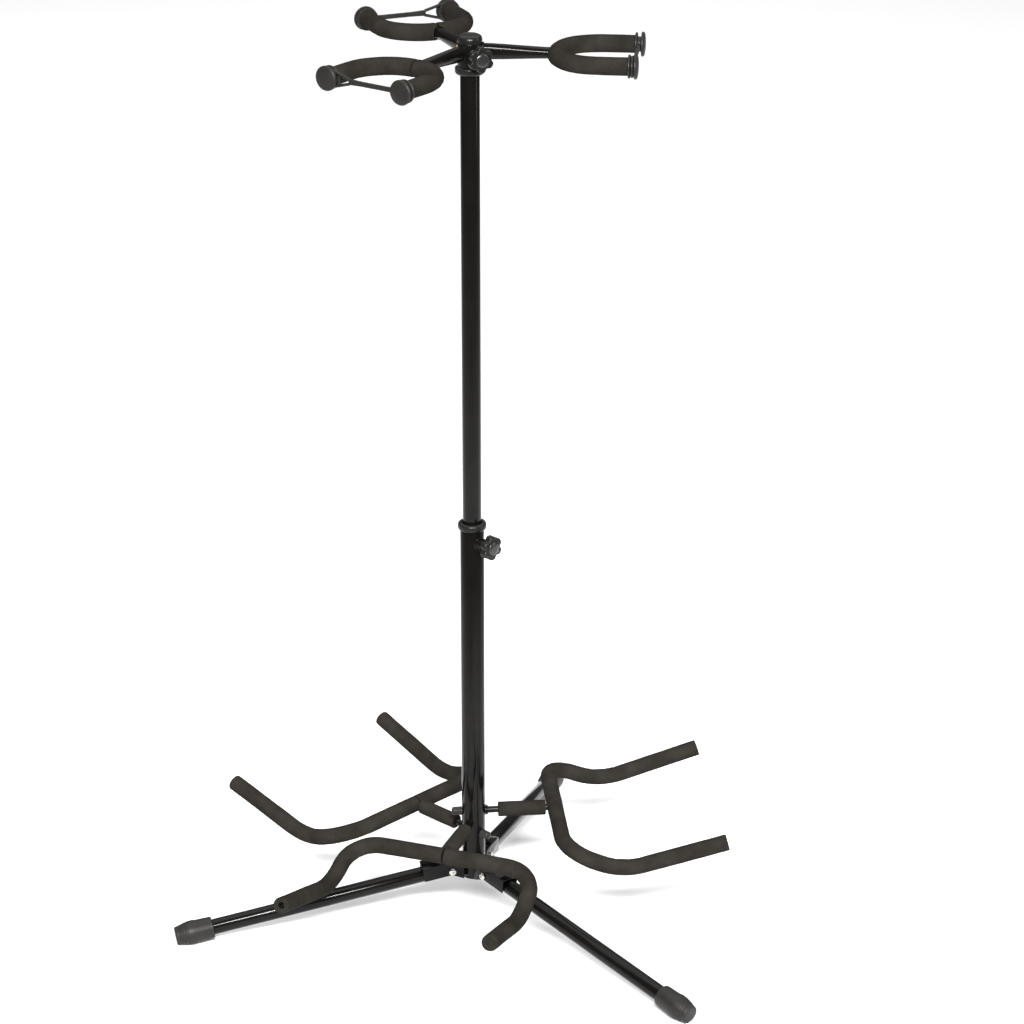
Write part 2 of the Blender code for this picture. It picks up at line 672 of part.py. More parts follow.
def build_head_tube(head, finish):
    """Short tube that turns on the mast, with its collar and top cap."""
    bottom = HEAD_TUBE_BOTTOM
    top = HEAD_TUBE_TOP
    tube = pipe_mesh("head_tube", LOWER_R, BORE_R, bottom, top, TUBE_SIDES)
    tube = add_piece("head_tube", tube, head, finish["steel"])
    drill = cylinder_mesh("head_drill", BOLT_OD / 2 + RUN, 0, 2 * LOWER_R, HOLE_SIDES)
    place = (0, 0, top - HEAD_BOLT_BELOW_TOP)
    combine(tube, drill, "DIFFERENCE", place, (0, math.pi / 2, -math.pi / 3))
    collar = collar_mesh("head_collar", UPPER_R + GAP)
    add_piece("head_collar", collar, head, finish["plastic"], (0, 0, bottom), (math.pi, 0, 0))
    plug = BORE_R - GAP
    seat = top + GAP
    cap = (
        (plug, top - HEAD_CAP_PLUG),
        (plug, seat),
        (LOWER_R, seat),
        (LOWER_R, seat + 0.35 * HEAD_CAP_HEIGHT),
        (LOWER_R - 1.2 * MM, seat + 0.70 * HEAD_CAP_HEIGHT),
        (HEAD_CAP_TOP_OD / 2, seat + HEAD_CAP_HEIGHT),
    )
    add_piece("head_cap", solid_turned_mesh("head_cap", cap, TUBE_SIDES), head, finish["plastic"])


def yoke_path():
    """Return half of a yoke's U, from the middle of its cross bar to the foam's end."""
    middle = (YOKE_REACH, SEAM / 2, 0)
    corner = (YOKE_REACH, YOKE_HALF_WIDTH, 0)
    tip = (YOKE_REACH + YOKE_DEPTH, YOKE_HALF_WIDTH, 0)
    return bent_path((middle, corner, tip), (YOKE_CORNER_RADIUS,))


def arm_mesh(name):
    """Arm tube, flattened upright at the head and round at the yoke."""
    rings = []
    for share, reach in ((0, BORE_R), (1, YOKE_REACH)):
        width = ARM_HUB_WIDTH + (ARM_END_OD - ARM_HUB_WIDTH) * share
        height = ARM_HUB_HEIGHT + (ARM_END_OD - ARM_HUB_HEIGHT) * share
        centre = Vector((reach, 0, 0))
        side = Vector((0, 1, 0))
        up = Vector((0, 0, 1))
        rings.append(ring_at(centre, side, up, width / 2, height / 2, HOLE_SIDES))
    return mesh_from_rings(name, rings)


def cap_mesh(name):
    """End cap along +Z: flange at 0, grooved neck, domed face and a blind bore."""
    bore = YOKE_ROD_OD / 2 + GAP
    flange = YOKE_CAP_FLANGE_OD / 2
    neck = YOKE_CAP_NECK_OD / 2
    face = YOKE_CAP_FACE_OD / 2
    groove = YOKE_CAP_FLANGE + YOKE_CAP_NECK
    top = groove + YOKE_CAP_FACE
    profile = (
        (0.55 * face, top),
        (0.85 * face, top - 0.2 * YOKE_CAP_FACE),
        (face, groove + 0.4 * YOKE_CAP_FACE),
        (face, groove),
        (neck, groove),
        (neck, YOKE_CAP_FLANGE),
        (flange, YOKE_CAP_FLANGE),
        (flange, 0),
        (bore, 0),
        (bore, YOKE_ROD_STUB + GAP),
    )
    return solid_turned_mesh(name, profile, HOLE_SIDES)


def loop_mesh(name):
    """Flat loop of the strap round a neck at the origin, its slot running along +Y."""
    inner = YOKE_CAP_NECK_OD / 2 + GAP
    outer = inner + STRAP_WIDTH * 0.7
    half = STRAP_THICKNESS / 2
    section = ((inner, -half), (outer, -half), (outer, half), (inner, half))
    steps = HOLE_SIDES // 2
    rings = []
    for centre, first in ((STRAP_LOOP_LENGTH - inner, 0), (0, math.pi)):
        for step in range(steps + 1):
            angle = first + math.pi * step / steps
            out = Vector((math.cos(angle), math.sin(angle), 0))
            middle = Vector((0, centre, 0))
            rings.append([middle + out * reach + Vector((0, 0, z)) for reach, z in section])
    return mesh_from_rings(name, rings, closed=True)


def build_yoke(number, head, azimuth, finish):
    """Arm and U-shaped rod with two foam sleeves, an end cap and a strap."""
    yoke = add_empty(f"yoke_{number}", head, (0, 0, ARM_HEIGHT), (0, 0, azimuth))
    outward = (0, math.pi / 2, 0)
    half = yoke_path()
    tip = half[-1]
    bare = half[:-1] + [tip + Vector((GAP + YOKE_ROD_STUB, 0, 0))]
    rod = rod_mesh(f"yoke_frame_{number}", mirrored(bare)[::-1] + bare, YOKE_ROD_OD / 2, ROD_SIDES)
    frame = add_piece(f"yoke_frame_{number}", rod, yoke, finish["steel"])
    combine(frame, arm_mesh("arm"), "UNION")
    seat = cylinder_mesh("arm_seat", LOWER_R + GAP, -ARM_HUB_HEIGHT, ARM_HUB_HEIGHT, TUBE_SIDES)
    combine(frame, seat, "DIFFERENCE")
    for side, path in (("left", half), ("right", mirrored(half))):
        name = f"yoke_foam_{number}_{side}"
        mesh = sleeve_mesh(name, path, YOKE_FOAM_R, YOKE_ROD_OD / 2 + RUN, FOAM_SIDES)
        foam = add_piece(name, mesh, yoke, finish["foam"])
        notch = cylinder_mesh("arm_notch", ARM_END_OD / 2 + 2 * RUN, YOKE_REACH - YOKE_FOAM_OD,
                              YOKE_REACH + GAP, HOLE_SIDES)
        combine(foam, notch, "DIFFERENCE", rotation=outward)
    cap_start = tip.x + GAP
    name = f"yoke_cap_{number}"
    add_piece(name, cap_mesh(name), yoke, finish["rubber"], (cap_start, -tip.y, 0), outward)
    name = f"yoke_strap_{number}"
    strap = add_piece(name, cap_mesh(name), yoke, finish["rubber"], (cap_start, tip.y, 0), outward)
    groove = YOKE_CAP_FLANGE + YOKE_CAP_NECK / 2
    half_width = STRAP_WIDTH / 2
    half_thickness = STRAP_THICKNESS / 2
    far = STRAP_LOOP_LENGTH + GAP - 2 * tip.y
    near = -YOKE_ROD_OD / 2 - STRAP_THICKNESS
    low = (-half_width, far, groove - half_thickness)
    high = (half_width, near, groove + half_thickness)
    combine(strap, box_mesh("band", low, high), "UNION")
    combine(strap, loop_mesh("loop"), "UNION", (0, -2 * tip.y, groove))


def build_head(upper, finish):
    """The turning head: tube, collar, cap, clamp and three yokes."""
    head = add_empty("head", upper, (0, 0, -LOWER_TOP), (0, 0, HEAD_TURN))
    build_head_tube(head, finish)
    for index in range(3):
        build_yoke(index + 1, head, index * math.tau / 3, finish)
    build_clamp("head", head, HEAD_TUBE_TOP - HEAD_BOLT_BELOW_TOP, -math.pi / 3, finish)


# ------------------------------------------------------------------------- main

def centre_on_floor(stand):
    """Move the whole stand so that the middle of its footprint is the origin."""
    bpy.context.view_layer.update()
    pieces = [thing for thing in bpy.data.objects if thing.type == "MESH" and not thing.hide_render]
    points = [piece.matrix_world @ vertex.co for piece in pieces for vertex in piece.data.vertices]
    for axis in (0, 1):
        low = min(point[axis] for point in points)
        high = max(point[axis] for point in points)
        stand.location[axis] = -(low + high) / 2
    stand.location.z = -foot_ground_level()


def main():
    """Build the stand."""
    clear_scene()
    finish = make_materials()
    stand = add_empty("stand", None)
    build_lower_tube(stand, finish)
    build_tube_plug(stand, finish)
    build_collar(stand, finish)
    build_clamp("height", stand, LOWER_TOP - CLAMP_DROP, CLAMP_AZIMUTH, finish)
    build_legs(stand, finish)
    for index, (azimuth, height) in enumerate(zip(CRADLE_AZIMUTHS, cradle_heights())):
        build_cradle(index + 1, stand, azimuth, height, finish)
    upper = add_empty("mast_upper", stand, (0, 0, LOWER_TOP))
    build_upper_tube(upper, finish)
    build_head(upper, finish)
    centre_on_floor(stand)


main()
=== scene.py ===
"""Finished look of a floor stand for three guitars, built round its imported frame.

Each operator makes one kind of piece at the place its frame node gives. Sizes are in
metres and +Z is up. Pieces are drawn at the origin, moved to their place, and the move
is applied, so that every mesh holds its own place.
"""

import json
import math

import bpy
from bpy.props import FloatProperty, FloatVectorProperty, IntProperty, PointerProperty
from bpy.types import Operator, Panel, PropertyGroup
from mathutils import Matrix, Vector, kdtree, noise


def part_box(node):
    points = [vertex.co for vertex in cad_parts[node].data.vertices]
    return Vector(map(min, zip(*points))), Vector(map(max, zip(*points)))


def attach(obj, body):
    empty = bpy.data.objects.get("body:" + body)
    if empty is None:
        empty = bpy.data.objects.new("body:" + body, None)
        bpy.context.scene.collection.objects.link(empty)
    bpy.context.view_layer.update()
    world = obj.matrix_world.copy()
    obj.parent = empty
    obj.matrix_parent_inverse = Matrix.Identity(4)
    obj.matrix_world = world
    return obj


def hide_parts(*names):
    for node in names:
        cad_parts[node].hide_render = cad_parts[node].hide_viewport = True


bl_info = {
    "name": "Triple Guitar Stand",
    "version": (1, 0, 0),
    "blender": (4, 5, 0),
    "location": "View3D > Sidebar > Guitar Stand",
    "description": "Builds the finished pieces of a folding stand for three guitars",
    "category": "Object",
}

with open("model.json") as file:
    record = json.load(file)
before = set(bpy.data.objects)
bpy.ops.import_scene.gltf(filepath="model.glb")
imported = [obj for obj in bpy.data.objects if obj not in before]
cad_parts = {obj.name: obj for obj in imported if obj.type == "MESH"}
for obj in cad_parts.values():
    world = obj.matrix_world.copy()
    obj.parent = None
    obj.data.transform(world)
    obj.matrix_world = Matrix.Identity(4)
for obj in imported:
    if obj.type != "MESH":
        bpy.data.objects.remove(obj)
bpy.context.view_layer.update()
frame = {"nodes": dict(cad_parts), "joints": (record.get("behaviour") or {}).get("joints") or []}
joints = {joint["name"]: joint for joint in frame["joints"]}

MM = 0.001
THREE = (1, 2, 3)
SIDES = ("left", "right")
FOOT_SIDES = 64
ROUND = 56            # sides of a mast tube
MIDDLE = 48           # sides of a leg tube and of the yokes' caps
FINE = 36             # sides of smaller round pieces
SMOOTH_ANGLE = math.radians(38)
BEND_STEP = math.radians(5)
HALF_TURN_STEPS = 18
QUARTER = math.pi / 2
WELD_RIPPLES = 26     # round one bead
PAN_FLAT = 0.35       # share of a screw's pan head that isn't domed

# Clearances that the frame keeps between pieces
GAP = 0.3 * MM
RUN = 0.45 * MM

# Holes through the mast and the legs, and how far a drill reaches past their middle
ROD_HOLE = 4.45 * MM
PIVOT_HOLE = 2.95 * MM
DRILL_REACH = 30 * MM

# The camera stands in front of the stand, a little to its left, and looks down on it
CAMERA_SPOT = (-0.5538, -3.5085, 1.9635)
CAMERA_TILT = math.radians(67.95)
CAMERA_PAN = math.radians(-10.25)
CAMERA_LENS = 115.87
CAMERA_SENSOR = 36.0

# Area lights: name, spot, point aimed at, size, power in watts and spread in degrees
LIGHTS = (
    ("top_softbox", (0.3, 3.1, 4.4), (0.3, 3.1, 0.0), (10.0, 7.6), 270, 130),
    ("front_strip", (-0.5, -3.3, 2.7), (0.0, 0.0, 0.45), (2.4, 0.3), 40, 50),
    ("side_strip", (2.3, -0.8, 1.6), (0.0, 0.0, 0.6), (0.25, 1.8), 3, 90),
)
SKY_STRENGTH = 0.16
FLOOR_SIZE = 60.0

MAST_X, MAST_Y, _ = joints["head_swivel"]["pos_m"]


# ------------------------------------------------------------------- properties

def linear(code):
    """Turn an sRGB hex colour into the linear values that shaders read."""
    channels = [int(code[start:start + 2], 16) / 255 for start in (1, 3, 5)]
    return tuple(c / 12.92 if c <= 0.04045 else ((c + 0.055) / 1.055) ** 2.4 for c in channels)


def length(name, description, millimetres):
    """Return a length property given in millimetres."""
    return FloatProperty(name=name, description=description, default=millimetres * MM,
                         min=0.0, unit="LENGTH", precision=4)


def colour(name, description, code):
    """Return a colour property given as an sRGB hex value."""
    return FloatVectorProperty(name=name, description=description, default=linear(code),
                               subtype="COLOR", size=3, min=0.0, max=1.0)


class MastSizes(PropertyGroup):
    """Tubes, collars and cap of the mast and the head."""

    upper_radius: length("Upper tube radius", "Outside radius of the inner tube", 11.0)
    upper_wall: length("Upper tube wall", "Wall of the inner tube", 1.2)
    lower_radius: length("Lower tube radius", "Outside radius of the outer tube", 14.0)
    lower_bore: length("Lower tube bore", "Inside radius of the outer tube", 12.5)
    ring_lip: length("Ring lip", "How far a collar ring stands out from its tube", 2.8)
    ring_height: length("Ring height", "Height of a collar ring", 9.0)
    ring_sleeve: length("Ring sleeve", "Part of a collar inside its tube", 8.0)
    cap_height: length("Cap height", "Top cap above the head tube", 9.0)
    cap_top: length("Cap disc radius", "Radius of the flat disc on the top cap", 10.0)
    cap_plug: length("Cap plug", "Part of the top cap inside the head tube", 5.2)


class KnobSizes(PropertyGroup):
    """Star knobs, their bolts and the weld bosses they screw into."""

    bolt_radius: length("Bolt radius", "Radius of the clamp bolt", 3.0)
    boss_radius: length("Boss radius", "Radius of the weld boss", 7.0)
    boss_length: length("Boss length", "Boss outside the tube", 6.0)
    knob_radius: length("Knob radius", "Radius over the lobes", 14.75)
    lobes: IntProperty(name="Lobes", description="Lobes round the knob", default=6, min=3)
    lobe_depth: length("Lobe depth", "Depth of the hollows between lobes", 2.6)
    thickness: length("Knob thickness", "Thickness of the lobed part", 9.0)
    neck_radius: length("Neck radius", "Radius of the knob's neck", 6.5)
    neck_length: length("Neck length", "Length of the knob's neck", 6.0)
    button_radius: length("Button radius", "Radius of the domed centre", 8.0)
    button_height: length("Button height", "Height of the domed centre", 2.4)


class LegSizes(PropertyGroup):
    """Leg tubes, their pivot bolts and their rubber feet."""

    slope: FloatProperty(name="Slope", description="Fall of a leg from its pivot to its foot",
                         default=math.radians(8.8), subtype="ANGLE")
    radius: length("Leg radius", "Outside radius of a leg tube", 9.5)
    wall: length("Leg wall", "Wall of a leg tube", 1.2)
    reach: length("Leg length", "Pivot to the end of the tube", 336.0)
    heel: length("Heel", "Tube behind the pivot", 7.0)
    bolt_radius: length("Pivot bolt radius", "Radius of a pivot bolt", 2.5)
    head_radius: length("Bolt head radius", "Radius of the bolt's pan head", 4.5)
    head_height: length("Bolt head height", "Height of the bolt's pan head", 2.6)
    nut_across: length("Nut across flats", "Lock nut across its flats", 8.0)
    nut_height: length("Nut height", "Height of the lock nut", 4.5)
    bracket_half: length("Bracket half width", "Leg axis to the outside of a bracket", 12.1)
    foot_length: length("Foot length", "Length of a rubber foot", 46.0)
    foot_end: length("Foot end wall", "Rubber past the end of the tube", 5.0)
    foot_mouth: length("Foot mouth wall", "Wall of a foot at its mouth", 3.0)
    foot_bulge: length("Foot bulge", "Wall of a foot at its widest", 5.0)
    foot_nose: length("Foot nose wall", "Wall of a foot at its nose", 1.5)


class CradleSizes(PropertyGroup):
    """Bent rods that carry the guitar bodies, with their foam."""

    rod_radius: length("Rod radius", "Radius of the bent rod", 4.0)
    foam_radius: length("Sleeve radius", "Outside radius of the stem's foam", 9.3)
    pad_radius: length("Foam radius", "Outside radius of the foam on the U", 10.1)
    reach: length("Reach", "Mast axis to the cross bar", 99.0)
    half_width: length("Half width", "Middle of the cross bar to a corner", 115.0)
    spread: length("Spread", "How far a tip stands outside its corner", 12.0)
    depth: length("Depth", "Cross bar to the tips", 191.0)
    dip_at: length("Dip position", "Cross bar to the lowest point of a prong", 67.0)
    dip: length("Dip", "Depth of the lowest point of a prong", 27.0)
    rise: length("Rise", "Height of the tips over the cross bar", 9.0)
    corner_radius: length("Corner radius", "Bend radius of the corners", 39.0)
    dip_radius: length("Dip radius", "Bend radius of the dips", 80.0)
    end_cover: length("End cover", "Foam past the end of the rod", 3.0)
    seam: length("Seam", "Gap between the two halves of foam", 2.4)
    tail: length("Tail", "Rod past the back of the mast", 10.0)
    bare_inner: length("Bare rod inside", "Mast to the stem's foam", 15.7)
    bare_outer: length("Bare rod outside", "Stem's foam to the foam on the U", 2.7)
    washer_radius: length("Washer radius", "Radius of the washer at the mast", 6.5)
    cap_wall: length("End cap wall", "Wall of the rubber cap behind the mast", 0.85)


class YokeSizes(PropertyGroup):
    """Arms, rods, foam, end caps and straps that hold the necks."""

    turn: FloatProperty(name="Turn", description="Azimuth of the first yoke",
                        default=math.radians(-16.7), subtype="ANGLE")
    hub_width: length("Arm width", "Width of a flattened arm at the head", 10.0)
    hub_height: length("Arm height", "Height of a flattened arm at the head", 18.6)
    arm_radius: length("Arm radius", "Radius of an arm where it meets the yoke", 6.3)
    rod_radius: length("Rod radius", "Radius of the yoke's rod", 4.5)
    foam_radius: length("Foam radius", "Outside radius of the foam", 10.35)
    reach: length("Reach", "Mast axis to the cross bar", 96.5)
    seam: length("Seam", "Gap between the two halves of foam", 2.4)
    half_width: length("Half width", "Middle of the cross bar to a corner", 50.5)
    depth: length("Depth", "Cross bar to the foam's ends", 82.0)
    corner_radius: length("Corner radius", "Bend radius of the corners", 48.0)
    stub: length("Rod stub", "Bare rod inside an end cap", 7.0)
    flange_radius: length("Flange radius", "Inner flange of an end cap", 13.0)
    flange: length("Flange", "Thickness of the inner flange", 2.4)
    neck_radius: length("Neck radius", "Grooved neck of an end cap", 8.5)
    neck: length("Neck", "Length of the grooved neck", 4.4)
    face_radius: length("Face radius", "Outer disc of an end cap", 13.8)
    face: length("Face", "Thickness of the outer disc", 4.6)
    strap_thickness: length("Strap thickness", "Thickness of a strap", 3.4)
    strap_width: length("Strap width", "Width of a strap", 5.0)
    loop: length("Loop", "Cap centre to the inner end of the strap's slot", 30.0)


class Finishes(PropertyGroup):
    """Colours of the finishes."""

    enamel: colour("Enamel", "Stoved black enamel on the steel", "#0d0c0b")
    foam: colour("Foam", "Closed-cell foam", "#201e1b")
    foam_light: colour("Foam bloom", "Paler dust in the foam's open cells", "#2e2b27")
    rubber: colour("Rubber", "Moulded rubber", "#1c1b19")
    nylon: colour("Nylon", "Moulded black nylon", "#151513")
    button: colour("Knob centre", "Grey nylon button in a knob", "#242222")
    zinc: colour("Zinc", "Bright zinc plating", "#d8d5ce")
    brass: colour("Brass", "Yellow-passivated rivets", "#c9a45c")
    floor: colour("Floor", "Pale studio floor", "#f7f7f7")


# --------------------------------------------------------------------- materials

def add_node(tree, kind, settings=(), links=()):
    """Add a shader node, set its values and link its inputs."""
    node = tree.nodes.new(kind)
    for key, value in dict(settings).items():
        if key in node.inputs:
            node.inputs[key].default_value = value
        else:
            setattr(node, key, value)
    for key, socket in dict(links).items():
        tree.links.new(socket, node.inputs[key])
    return node


def surfaced(name, colours, roughness, grain, relief, patch=22.0, metallic=0.0, **fixed):
    """Principled material with mottled colour, uneven gloss and a fine relief.

    grain is the relief's size and relief its height, both in metres; patch is how many
    colour patches a metre holds.
    """
    material = bpy.data.materials.new(name)
    material.use_nodes = True
    tree = material.node_tree
    shader = tree.nodes["Principled BSDF"]
    place = add_node(tree, "ShaderNodeTexCoord").outputs["Object"]
    clouds = add_node(tree, "ShaderNodeTexNoise", {"Scale": patch, "Detail": 5.0, "Roughness": 0.6},
                      {"Vector": place})
    fine = add_node(tree, "ShaderNodeTexNoise", {"Scale": 1 / grain, "Detail": 3.0, "Roughness": 0.65},
                    {"Vector": place})
    spread = add_node(tree, "ShaderNodeMapRange", {"From Min": 0.3, "From Max": 0.7},
                      {"Value": clouds.outputs["Fac"]})
    blend = add_node(tree, "ShaderNodeMix", {"data_type": "RGBA"}, {0: spread.outputs["Result"]})
    blend.inputs[6].default_value = (*colours[0], 1.0)
    blend.inputs[7].default_value = (*colours[1], 1.0)
    gloss = add_node(tree, "ShaderNodeMapRange", {"To Min": roughness[0], "To Max": roughness[1]},
                     {"Value": clouds.outputs["Fac"]})
    bump = add_node(tree, "ShaderNodeBump", {"Strength": 1.0, "Distance": relief},
                    {"Height": fine.outputs["Fac"]})
    tree.links.new(blend.outputs[2], shader.inputs["Base Color"])
    tree.links.new(gloss.outputs["Result"], shader.inputs["Roughness"])
    tree.links.new(bump.outputs["Normal"], shader.inputs["Normal"])
    shader.inputs["Metallic"].default_value = metallic
    for socket, value in fixed.items():
        shader.inputs[socket.replace("_", " ")].default_value = value
    return material


def shade(tone, share):
    """Return a colour made lighter or darker by a share."""
    return tuple(min(1.0, channel * share) for channel in tone)


def make_finishes(tones):
    """Return the finishes of the stand by name."""
    return {
        # Stoved enamel over drawn tube: near black, wet gloss, a faint orange peel
        "steel": surfaced("stoved_black_enamel", (shade(tones.enamel, 0.8), shade(tones.enamel, 1.3)),
                          (0.1, 0.17), 3.2 * MM, 0.02 * MM, Specular_IOR_Level=0.16),
        # Closed-cell foam skin: dead matte, open cells of about 0.7 mm with paler dust in them
        "foam": foam_material(tones),
        # Moulded rubber: satin, slightly grey where it is handled
        "rubber": surfaced("moulded_black_rubber", (tones.rubber, shade(tones.rubber, 1.5)),
                           (0.4, 0.55), 0.9 * MM, 0.05 * MM, patch=60.0, Specular_IOR_Level=0.25),
        # Nylon from a spark-eroded mould: half gloss with a fine even texture
        "plastic": surfaced("moulded_black_nylon", (tones.nylon, shade(tones.nylon, 1.4)),
                            (0.24, 0.36), 0.7 * MM, 0.03 * MM, patch=45.0, Specular_IOR_Level=0.22),
        # Grey nylon button, polished in the mould
        "button": surfaced("polished_grey_nylon", (shade(tones.button, 0.85), tones.button),
                           (0.2, 0.32), 1.5 * MM, 0.02 * MM, patch=80.0, IOR=1.53),
        # Bright zinc plate: fine crystal bloom on polished steel
        "zinc": surfaced("bright_zinc_plate", (shade(tones.zinc, 0.8), tones.zinc),
                         (0.18, 0.34), 0.6 * MM, 0.01 * MM, patch=300.0, metallic=1.0),
        # Yellow-passivated rivets: brassy, a little dull
        "brass": surfaced("yellow_passivated_zinc", (shade(tones.brass, 0.75), tones.brass),
                          (0.22, 0.4), 0.5 * MM, 0.01 * MM, patch=300.0, metallic=1.0),
        # Painted studio floor: matte, almost even
        "floor": surfaced("matte_studio_paint", (shade(tones.floor, 0.985), tones.floor),
                          (0.85, 0.95), 2.0 * MM, 0.01 * MM, patch=1.5),
    }


def foam_material(tones):
    """Closed-cell foam: small round cells, soft clouds of dust and a skin with no shine."""
    material = surfaced("closed_cell_foam", (tones.foam, tones.foam_light), (0.8, 0.92),
                        1.6 * MM, 0.1 * MM, patch=34.0, Specular_IOR_Level=0.02)
    tree = material.node_tree
    place = add_node(tree, "ShaderNodeTexCoord").outputs["Object"]
    # Cells of 0.9 mm, drawn a little larger than life so that they show
    cells = add_node(tree, "ShaderNodeTexVoronoi", {"Scale": 1 / (0.9 * MM)}, {"Vector": place})
    pits = add_node(tree, "ShaderNodeMapRange", {"From Min": 0.0, "From Max": 0.35},
                    {"Value": cells.outputs["Distance"]})
    first = next(node for node in tree.nodes if node.bl_idname == "ShaderNodeBump")
    second = add_node(tree, "ShaderNodeBump", {"Strength": 0.6, "Distance": 0.15 * MM},
                      {"Height": pits.outputs["Result"], "Normal": first.outputs["Normal"]})
    tree.links.new(second.outputs["Normal"], tree.nodes["Principled BSDF"].inputs["Normal"])
    return material


# ----------------------------------------------------------------- shaping pieces

def pick(*pieces):
    """Leave edit mode and select only these pieces, the first one active."""
    if bpy.context.mode != "OBJECT":
        bpy.ops.object.mode_set(mode="OBJECT")
    bpy.ops.object.select_all(action="DESELECT")
    for piece in pieces:
        piece.select_set(True)
    if pieces:
        bpy.context.view_layer.objects.active = pieces[0]


def edit_all(piece):
    """Open a piece in edit mode with all of it selected."""
    pick(piece)
    bpy.ops.object.mode_set(mode="EDIT")
    bpy.ops.mesh.select_mode(type="VERT")
    bpy.ops.mesh.select_all(action="SELECT")


def tidy_normals(piece):
    """Merge doubles and turn every face outwards."""
    edit_all(piece)
    bpy.ops.mesh.remove_doubles(threshold=0.005 * MM)
    bpy.ops.mesh.normals_make_consistent(inside=False)
    bpy.ops.object.mode_set(mode="OBJECT")


def turned(name, profile, sides=ROUND, hollow=False):
    """Draw a circle out through (radius, height) points about the Z axis."""
    pick()
    radius, height = profile[0]
    bpy.ops.mesh.primitive_circle_add(vertices=sides, radius=radius, location=(0, 0, height),
                                      fill_type="NOTHING" if hollow else "NGON")
    piece = bpy.context.object
    piece.name = name
    bpy.ops.object.transform_apply(location=True, rotation=True, scale=True)
    edit_all(piece)
    stations = list(profile[1:])
    if hollow:
        stations.append(profile[0])
    for next_radius, next_height in stations:
        shift = {"value": (0, 0, next_height - height)}
        if hollow:
            bpy.ops.mesh.extrude_edges_move(TRANSFORM_OT_translate=shift)
        else:
            bpy.ops.mesh.extrude_region_move(TRANSFORM_OT_translate=shift)
        share = next_radius / radius
        bpy.ops.transform.resize(value=(share, share, 1), center_override=(0, 0, next_height))
        radius, height = next_radius, next_height
    bpy.ops.object.mode_set(mode="OBJECT")
    tidy_normals(piece)
    return piece


def modify(piece, kind, **settings):
    """Add a modifier with these settings and apply it."""
    modifier = piece.modifiers.new(kind.title(), kind)
    for key, value in settings.items():
        setattr(modifier, key, value)
    pick(piece)
    bpy.ops.object.modifier_apply(modifier=modifier.name)


def soften(piece, width, segments=3, limit=30):
    """Round the edges that are sharper than an angle in degrees."""
    modify(piece, "BEVEL", width=width, segments=segments, limit_method="ANGLE",
           angle_limit=math.radians(limit), miter_outer="MITER_ARC")


def boolean(piece, tool, operation="DIFFERENCE"):
    """Cut a piece with a tool, or unite them, and remove the tool."""
    modify(piece, "BOOLEAN", operation=operation, object=tool, solver="EXACT")
    bpy.data.objects.remove(tool)


def joined(first, *others):
    """Join pieces of one finish into the first."""
    pick(first, *others)
    bpy.ops.object.join()
    return first


def place(piece, matrix):
    """Move a piece to its place and apply the move to its mesh."""
    pick(piece)
    piece.matrix_world = matrix
    bpy.ops.object.transform_apply(location=True, rotation=True, scale=True)
    return piece


def twin(piece, name):
    """Copy a piece with its own mesh."""
    pick(piece)
    bpy.ops.object.duplicate(linked=False)
    copy = bpy.context.object
    copy.name = name
    return copy


def hand_over(piece, name, body, finish, slot, *nodes):
    """Name a finished piece, smooth it, give it its finish, tie it to its body and hide its frame nodes.
    """
    piece.name = name
    pick(piece)
    bpy.ops.object.shade_smooth_by_angle(angle=SMOOTH_ANGLE)
    piece.data.materials.clear()
    piece.data.materials.append(finishes[finish])
    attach(piece, body)
    if nodes:
        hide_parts(*nodes)
    return piece


def set_down(pattern, there, name, body, finish, slot, node):
    """Hand over a copy of a pattern at its place."""
    return hand_over(place(twin(pattern, name), there), name, body, finish, slot, node)


def set_down_pad(pattern, there, name, body, node):
    """Hand over a copy of a foam sleeve."""
    pad = set_down(pattern, there, name, body, "foam", "foam", node)


def standing(height=0.0, azimuth=0.0):
    """Return the place on the mast axis at a height, turned to an azimuth."""
    return Matrix.Translation((MAST_X, MAST_Y, height)) @ Matrix.Rotation(azimuth, 4, "Z")


def lying(matrix=Matrix.Identity(4)):
    """Return a place whose Z axis lies along the X axis of another."""
    return matrix @ Matrix.Rotation(QUARTER, 4, "Y")


def joint_place(name):
    """Return the place on the mast axis of a joint, with X along the joint's axis."""
    joint = joints[name]
    azimuth = math.atan2(joint["axis"][1], joint["axis"][0])
    return standing(joint["pos_m"][2], azimuth)


def end_place(points):
    """Return the place at the end of a line, with Z along it."""
    tip, before = points[-1], points[-2]
    turn = (tip - before).to_track_quat("Z", "Y").to_matrix().to_4x4()
    return Matrix.Translation(tip) @ turn


def bent_points(corners, radii):
    """Return the points of a line bent at its corners."""
    corners = [Vector(corner) for corner in corners]
    points = [corners[0]]
    for before, corner, after, radius in zip(corners, corners[1:], corners[2:], radii):
        back = (before - corner).normalized()
        ahead = (after - corner).normalized()
        half = back.angle(ahead) / 2
        middle = corner + (back + ahead).normalized() * (radius / math.sin(half))
        start = corner + back * (radius / math.tan(half)) - middle
        axis = back.cross(start).normalized()
        turn = math.pi - 2 * half
        steps = max(3, math.ceil(turn / BEND_STEP))
        for step in range(steps + 1):
            points.append(middle + Matrix.Rotation(turn * step / steps, 3, axis) @ start)
    points.append(corners[-1])
    return points


def spaced(points, pitch):
    """Return a line's points with more between them, none further apart than a pitch."""
    dense = [points[0]]
    for first, second in zip(points, points[1:]):
        steps = max(1, math.ceil((second - first).length / pitch))
        dense.extend(first.lerp(second, step / steps) for step in range(1, steps + 1))
    return dense


def mirrored(points):
    """Return points on the other side of the XZ plane."""
    return [Vector((point.x, -point.y, point.z)) for point in points]


